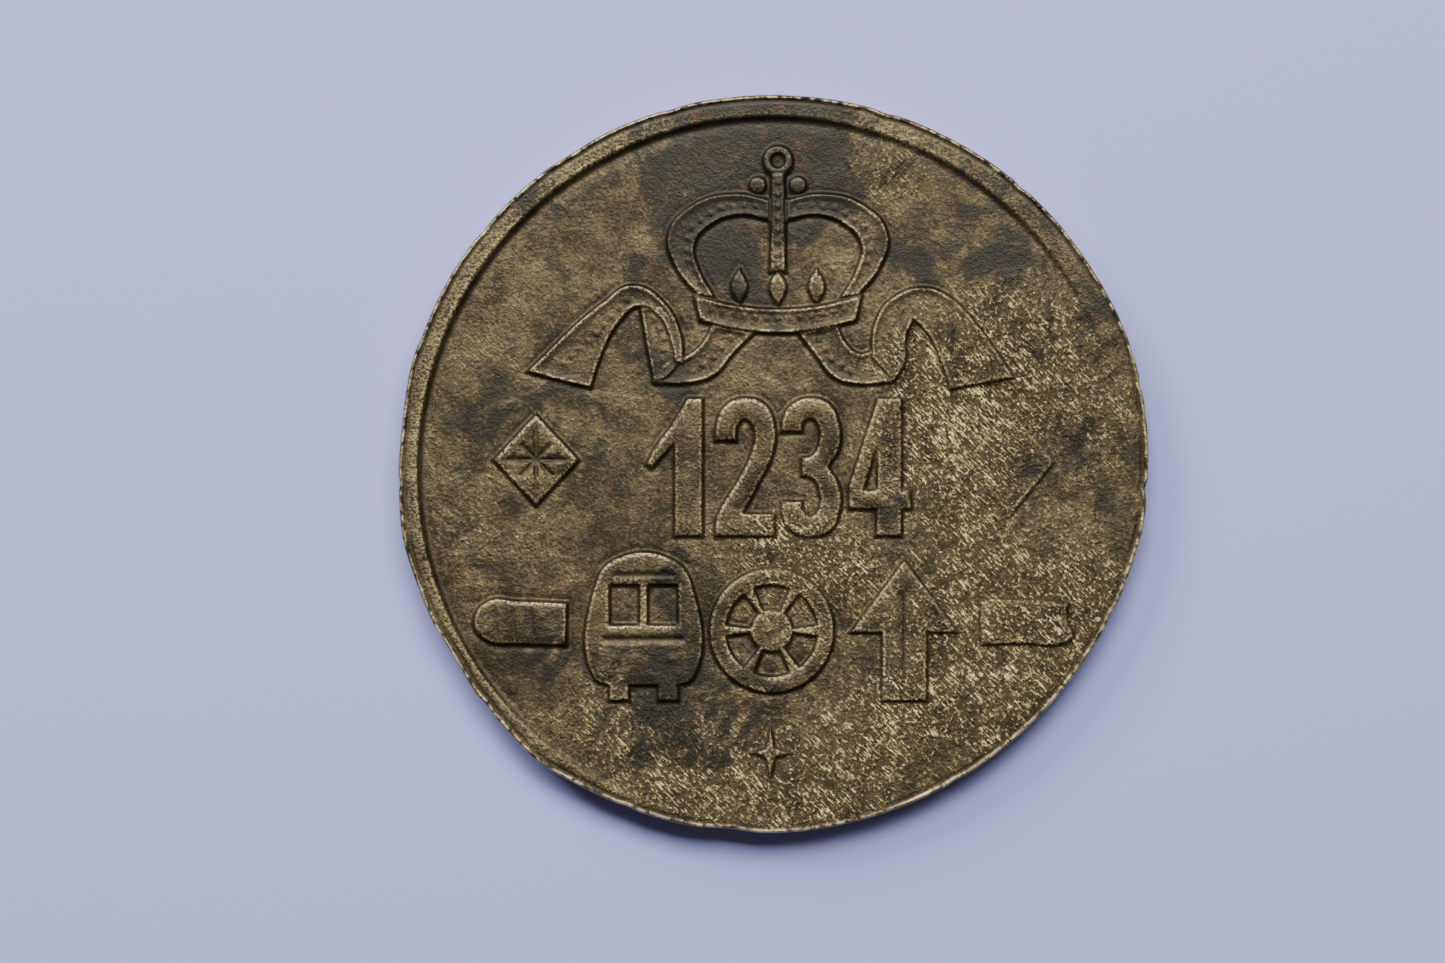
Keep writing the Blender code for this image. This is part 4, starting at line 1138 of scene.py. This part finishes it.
class TokenSizes(bpy.types.PropertyGroup):
    obverse_relief: length_setting("Obverse relief", "Height of the obverse shapes above their field", 0.195)
    reverse_relief: length_setting("Reverse relief", "Height of the reverse shapes above their field", 0.195)
    wall_width: length_setting("Wall width", "Width of the slope at the foot of a shape", 0.11)
    lip_height: length_setting("Lip height", "Height of the burr squeezed up round the edge", 0.065)
    bead_spacing: length_setting("Bead spacing", "Distance between beads in a row", 0.42)
    bead_radius: length_setting("Bead radius", "Radius of each bead", 0.14)
    bead_height: length_setting("Bead height", "Height of each bead above the metal round it", 0.026)
    dent_size: length_setting("Dent size", "Width of the shallow dents", 1.8)
    dent_depth: length_setting("Dent depth", "Depth of the shallow dents", 0.03)
    grain_size: length_setting("Grain size", "Width of the skin's fine unevenness", 0.4)
    grain_depth: length_setting("Grain depth", "Depth of the skin's fine unevenness", 0.012)
    reverse_spacing: FloatProperty(
        name="Reverse spacing", description="How much wider apart the reverse's points lie", default=1.7)
    seed: IntProperty(name="Seed", description="Starts the wear pattern", default=5)


class TokenColours(bpy.types.PropertyGroup):
    brass: colour_setting("Brass", "Bare metal seen through the skin", "#F0DFA0")
    brass_bright: colour_setting("Bright brass", "Metal of the lip, rubbed clean", "#EBDBA0")
    patina: colour_setting("Patina", "Olive-brown oxide skin", "#554B33")
    patina_dark: colour_setting("Dark patina", "Thicker oxide skin", "#2E281C")
    tarnish: colour_setting("Tarnish", "Grey-brown clouds", "#252420")
    stain: colour_setting("Stain", "Red-brown copper stain", "#5A3E27")
    # This colour darkens the pits, and at the foot of the relief it is dirt and painted shade.
    grime_and_shade: colour_setting("Grime", "Old dirt at the foot of the relief", "#2B2417")
    card: colour_setting("Card", "The card that the token lies on", "#A8AAE9")


class TOKEN_OT_disc(bpy.types.Operator):
    """Strike the token: both faces, the rims and the edge, in one closed piece of brass"""

    bl_idname = "token.disc"
    bl_label = "Struck Disc"

    def execute(self, context):
        sizes = context.scene.token_sizes
        material = tarnished_brass(context.scene.token_colours)
        obverse = Face(draw_obverse(), OBVERSE_CENTRE, sizes.obverse_relief, sizes, True)
        reverse = Face((*draw_reverse(), []), REVERSE_CENTRE, sizes.reverse_relief, sizes, False)
        mesh = build_token_mesh((obverse, reverse), blank_middle(), sizes.reverse_spacing)
        token = bpy.data.objects.new("brass_token", mesh)
        context.scene.collection.objects.link(token)
        guides = guide_curves(obverse.beads, OBVERSE_CENTRE)
        add_nodes_modifier(token, bead_tree(material), {
            "Guides": guides, "Bead spacing": sizes.bead_spacing, "Bead radius": sizes.bead_radius,
            "Bead height": sizes.bead_height})
        add_nodes_modifier(token, wear_tree(material), {
            "Dent size": sizes.dent_size, "Dent depth": sizes.dent_depth, "Grain size": sizes.grain_size,
            "Grain depth": sizes.grain_depth, "Seed": float(sizes.seed)})
        make_plain(token)
        bpy.data.objects.remove(guides)
        token.data.shade_smooth()
        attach(token, "root")
        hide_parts("struck_disc")
        return {"FINISHED"}


CARD_HALF = 0.6
# The view takes in this width at the height of the token's face.
VIEW_WIDTH = 56.07 * MM
CAMERA_PLACE = (-1.98 * MM, -0.68 * MM, 0.30)
SENSOR_WIDTH = 36
NEAREST_SEEN = 0.01
WORLD_COLOUR = "#D6D0CC"
WORLD_STRENGTH = 0.12
# Name, place in metres, width and depth, power in watts and colour.
STUDIO_LIGHTS = [
    ("overhead_softbox", (0.02, 0.12, 0.25), (0.16, 0.11), 0.98, "#FFFEFC"),
    ("window_softbox", (-0.20, 0.24, 0.22), (0.16, 0.16), 1.38, "#FFFFFF"),
]


class TOKEN_OT_stage(bpy.types.Operator):
    """Lay the card, hang the soft lights and place the camera straight above"""

    bl_idname = "token.stage"
    bl_label = "Stage"

    def execute(self, context):
        scene = context.scene
        corners = [(CARD_HALF * x, CARD_HALF * y, 0) for x, y in ((-1, -1), (1, -1), (1, 1), (-1, 1))]
        card = bpy.data.meshes.new("card")
        card.from_pydata(corners, [], [(0, 1, 2, 3)])
        card.materials.append(uncoated_card(scene.token_colours))
        floor = bpy.data.objects.new("card", card)
        scene.collection.objects.link(floor)

        world = bpy.data.worlds.new("studio")
        world.use_nodes = True
        background = world.node_tree.nodes["Background"]
        background.inputs["Color"].default_value = (*hex_colour(WORLD_COLOUR), 1)
        background.inputs["Strength"].default_value = WORLD_STRENGTH
        scene.world = world
        for name, place, size, power, code in STUDIO_LIGHTS:
            lamp = bpy.data.lights.new(name, "AREA")
            lamp.shape = "RECTANGLE"
            lamp.size, lamp.size_y = size
            lamp.energy = power
            lamp.color = hex_colour(code)
            light = bpy.data.objects.new(name, lamp)
            light.location = place
            light.rotation_euler = Vector(place).to_track_quat("Z", "Y").to_euler()
            scene.collection.objects.link(light)

        lens = bpy.data.cameras.new("camera")
        lens.sensor_width = SENSOR_WIDTH
        lens.lens = lens.sensor_width * (CAMERA_PLACE[2] - DISC_HIGH.z) / VIEW_WIDTH
        lens.clip_start = NEAREST_SEEN
        camera = bpy.data.objects.new("camera", lens)
        camera.location = CAMERA_PLACE
        scene.collection.objects.link(camera)
        scene.camera = camera
        return {"FINISHED"}


class TOKEN_PT_panel(bpy.types.Panel):
    bl_label = "Struck Token"
    bl_idname = "TOKEN_PT_panel"
    bl_space_type = "VIEW_3D"
    bl_region_type = "UI"
    bl_category = "Token"

    def draw(self, context):
        for settings in (context.scene.token_sizes, context.scene.token_colours):
            for name in settings.__annotations__:
                self.layout.prop(settings, name)
        for operator in OPERATORS:
            self.layout.operator(operator.bl_idname)


OPERATORS = (TOKEN_OT_disc, TOKEN_OT_stage)
CLASSES = (TokenSizes, TokenColours, *OPERATORS, TOKEN_PT_panel)


def register():
    for cls in CLASSES:
        bpy.utils.register_class(cls)
    bpy.types.Scene.token_sizes = PointerProperty(type=TokenSizes)
    bpy.types.Scene.token_colours = PointerProperty(type=TokenColours)


def unregister():
    del bpy.types.Scene.token_colours
    del bpy.types.Scene.token_sizes
    for cls in reversed(CLASSES):
        bpy.utils.unregister_class(cls)


def main():
    register()
    bpy.ops.token.disc()
    bpy.ops.token.stage()


if __name__ == "__main__":
    main()
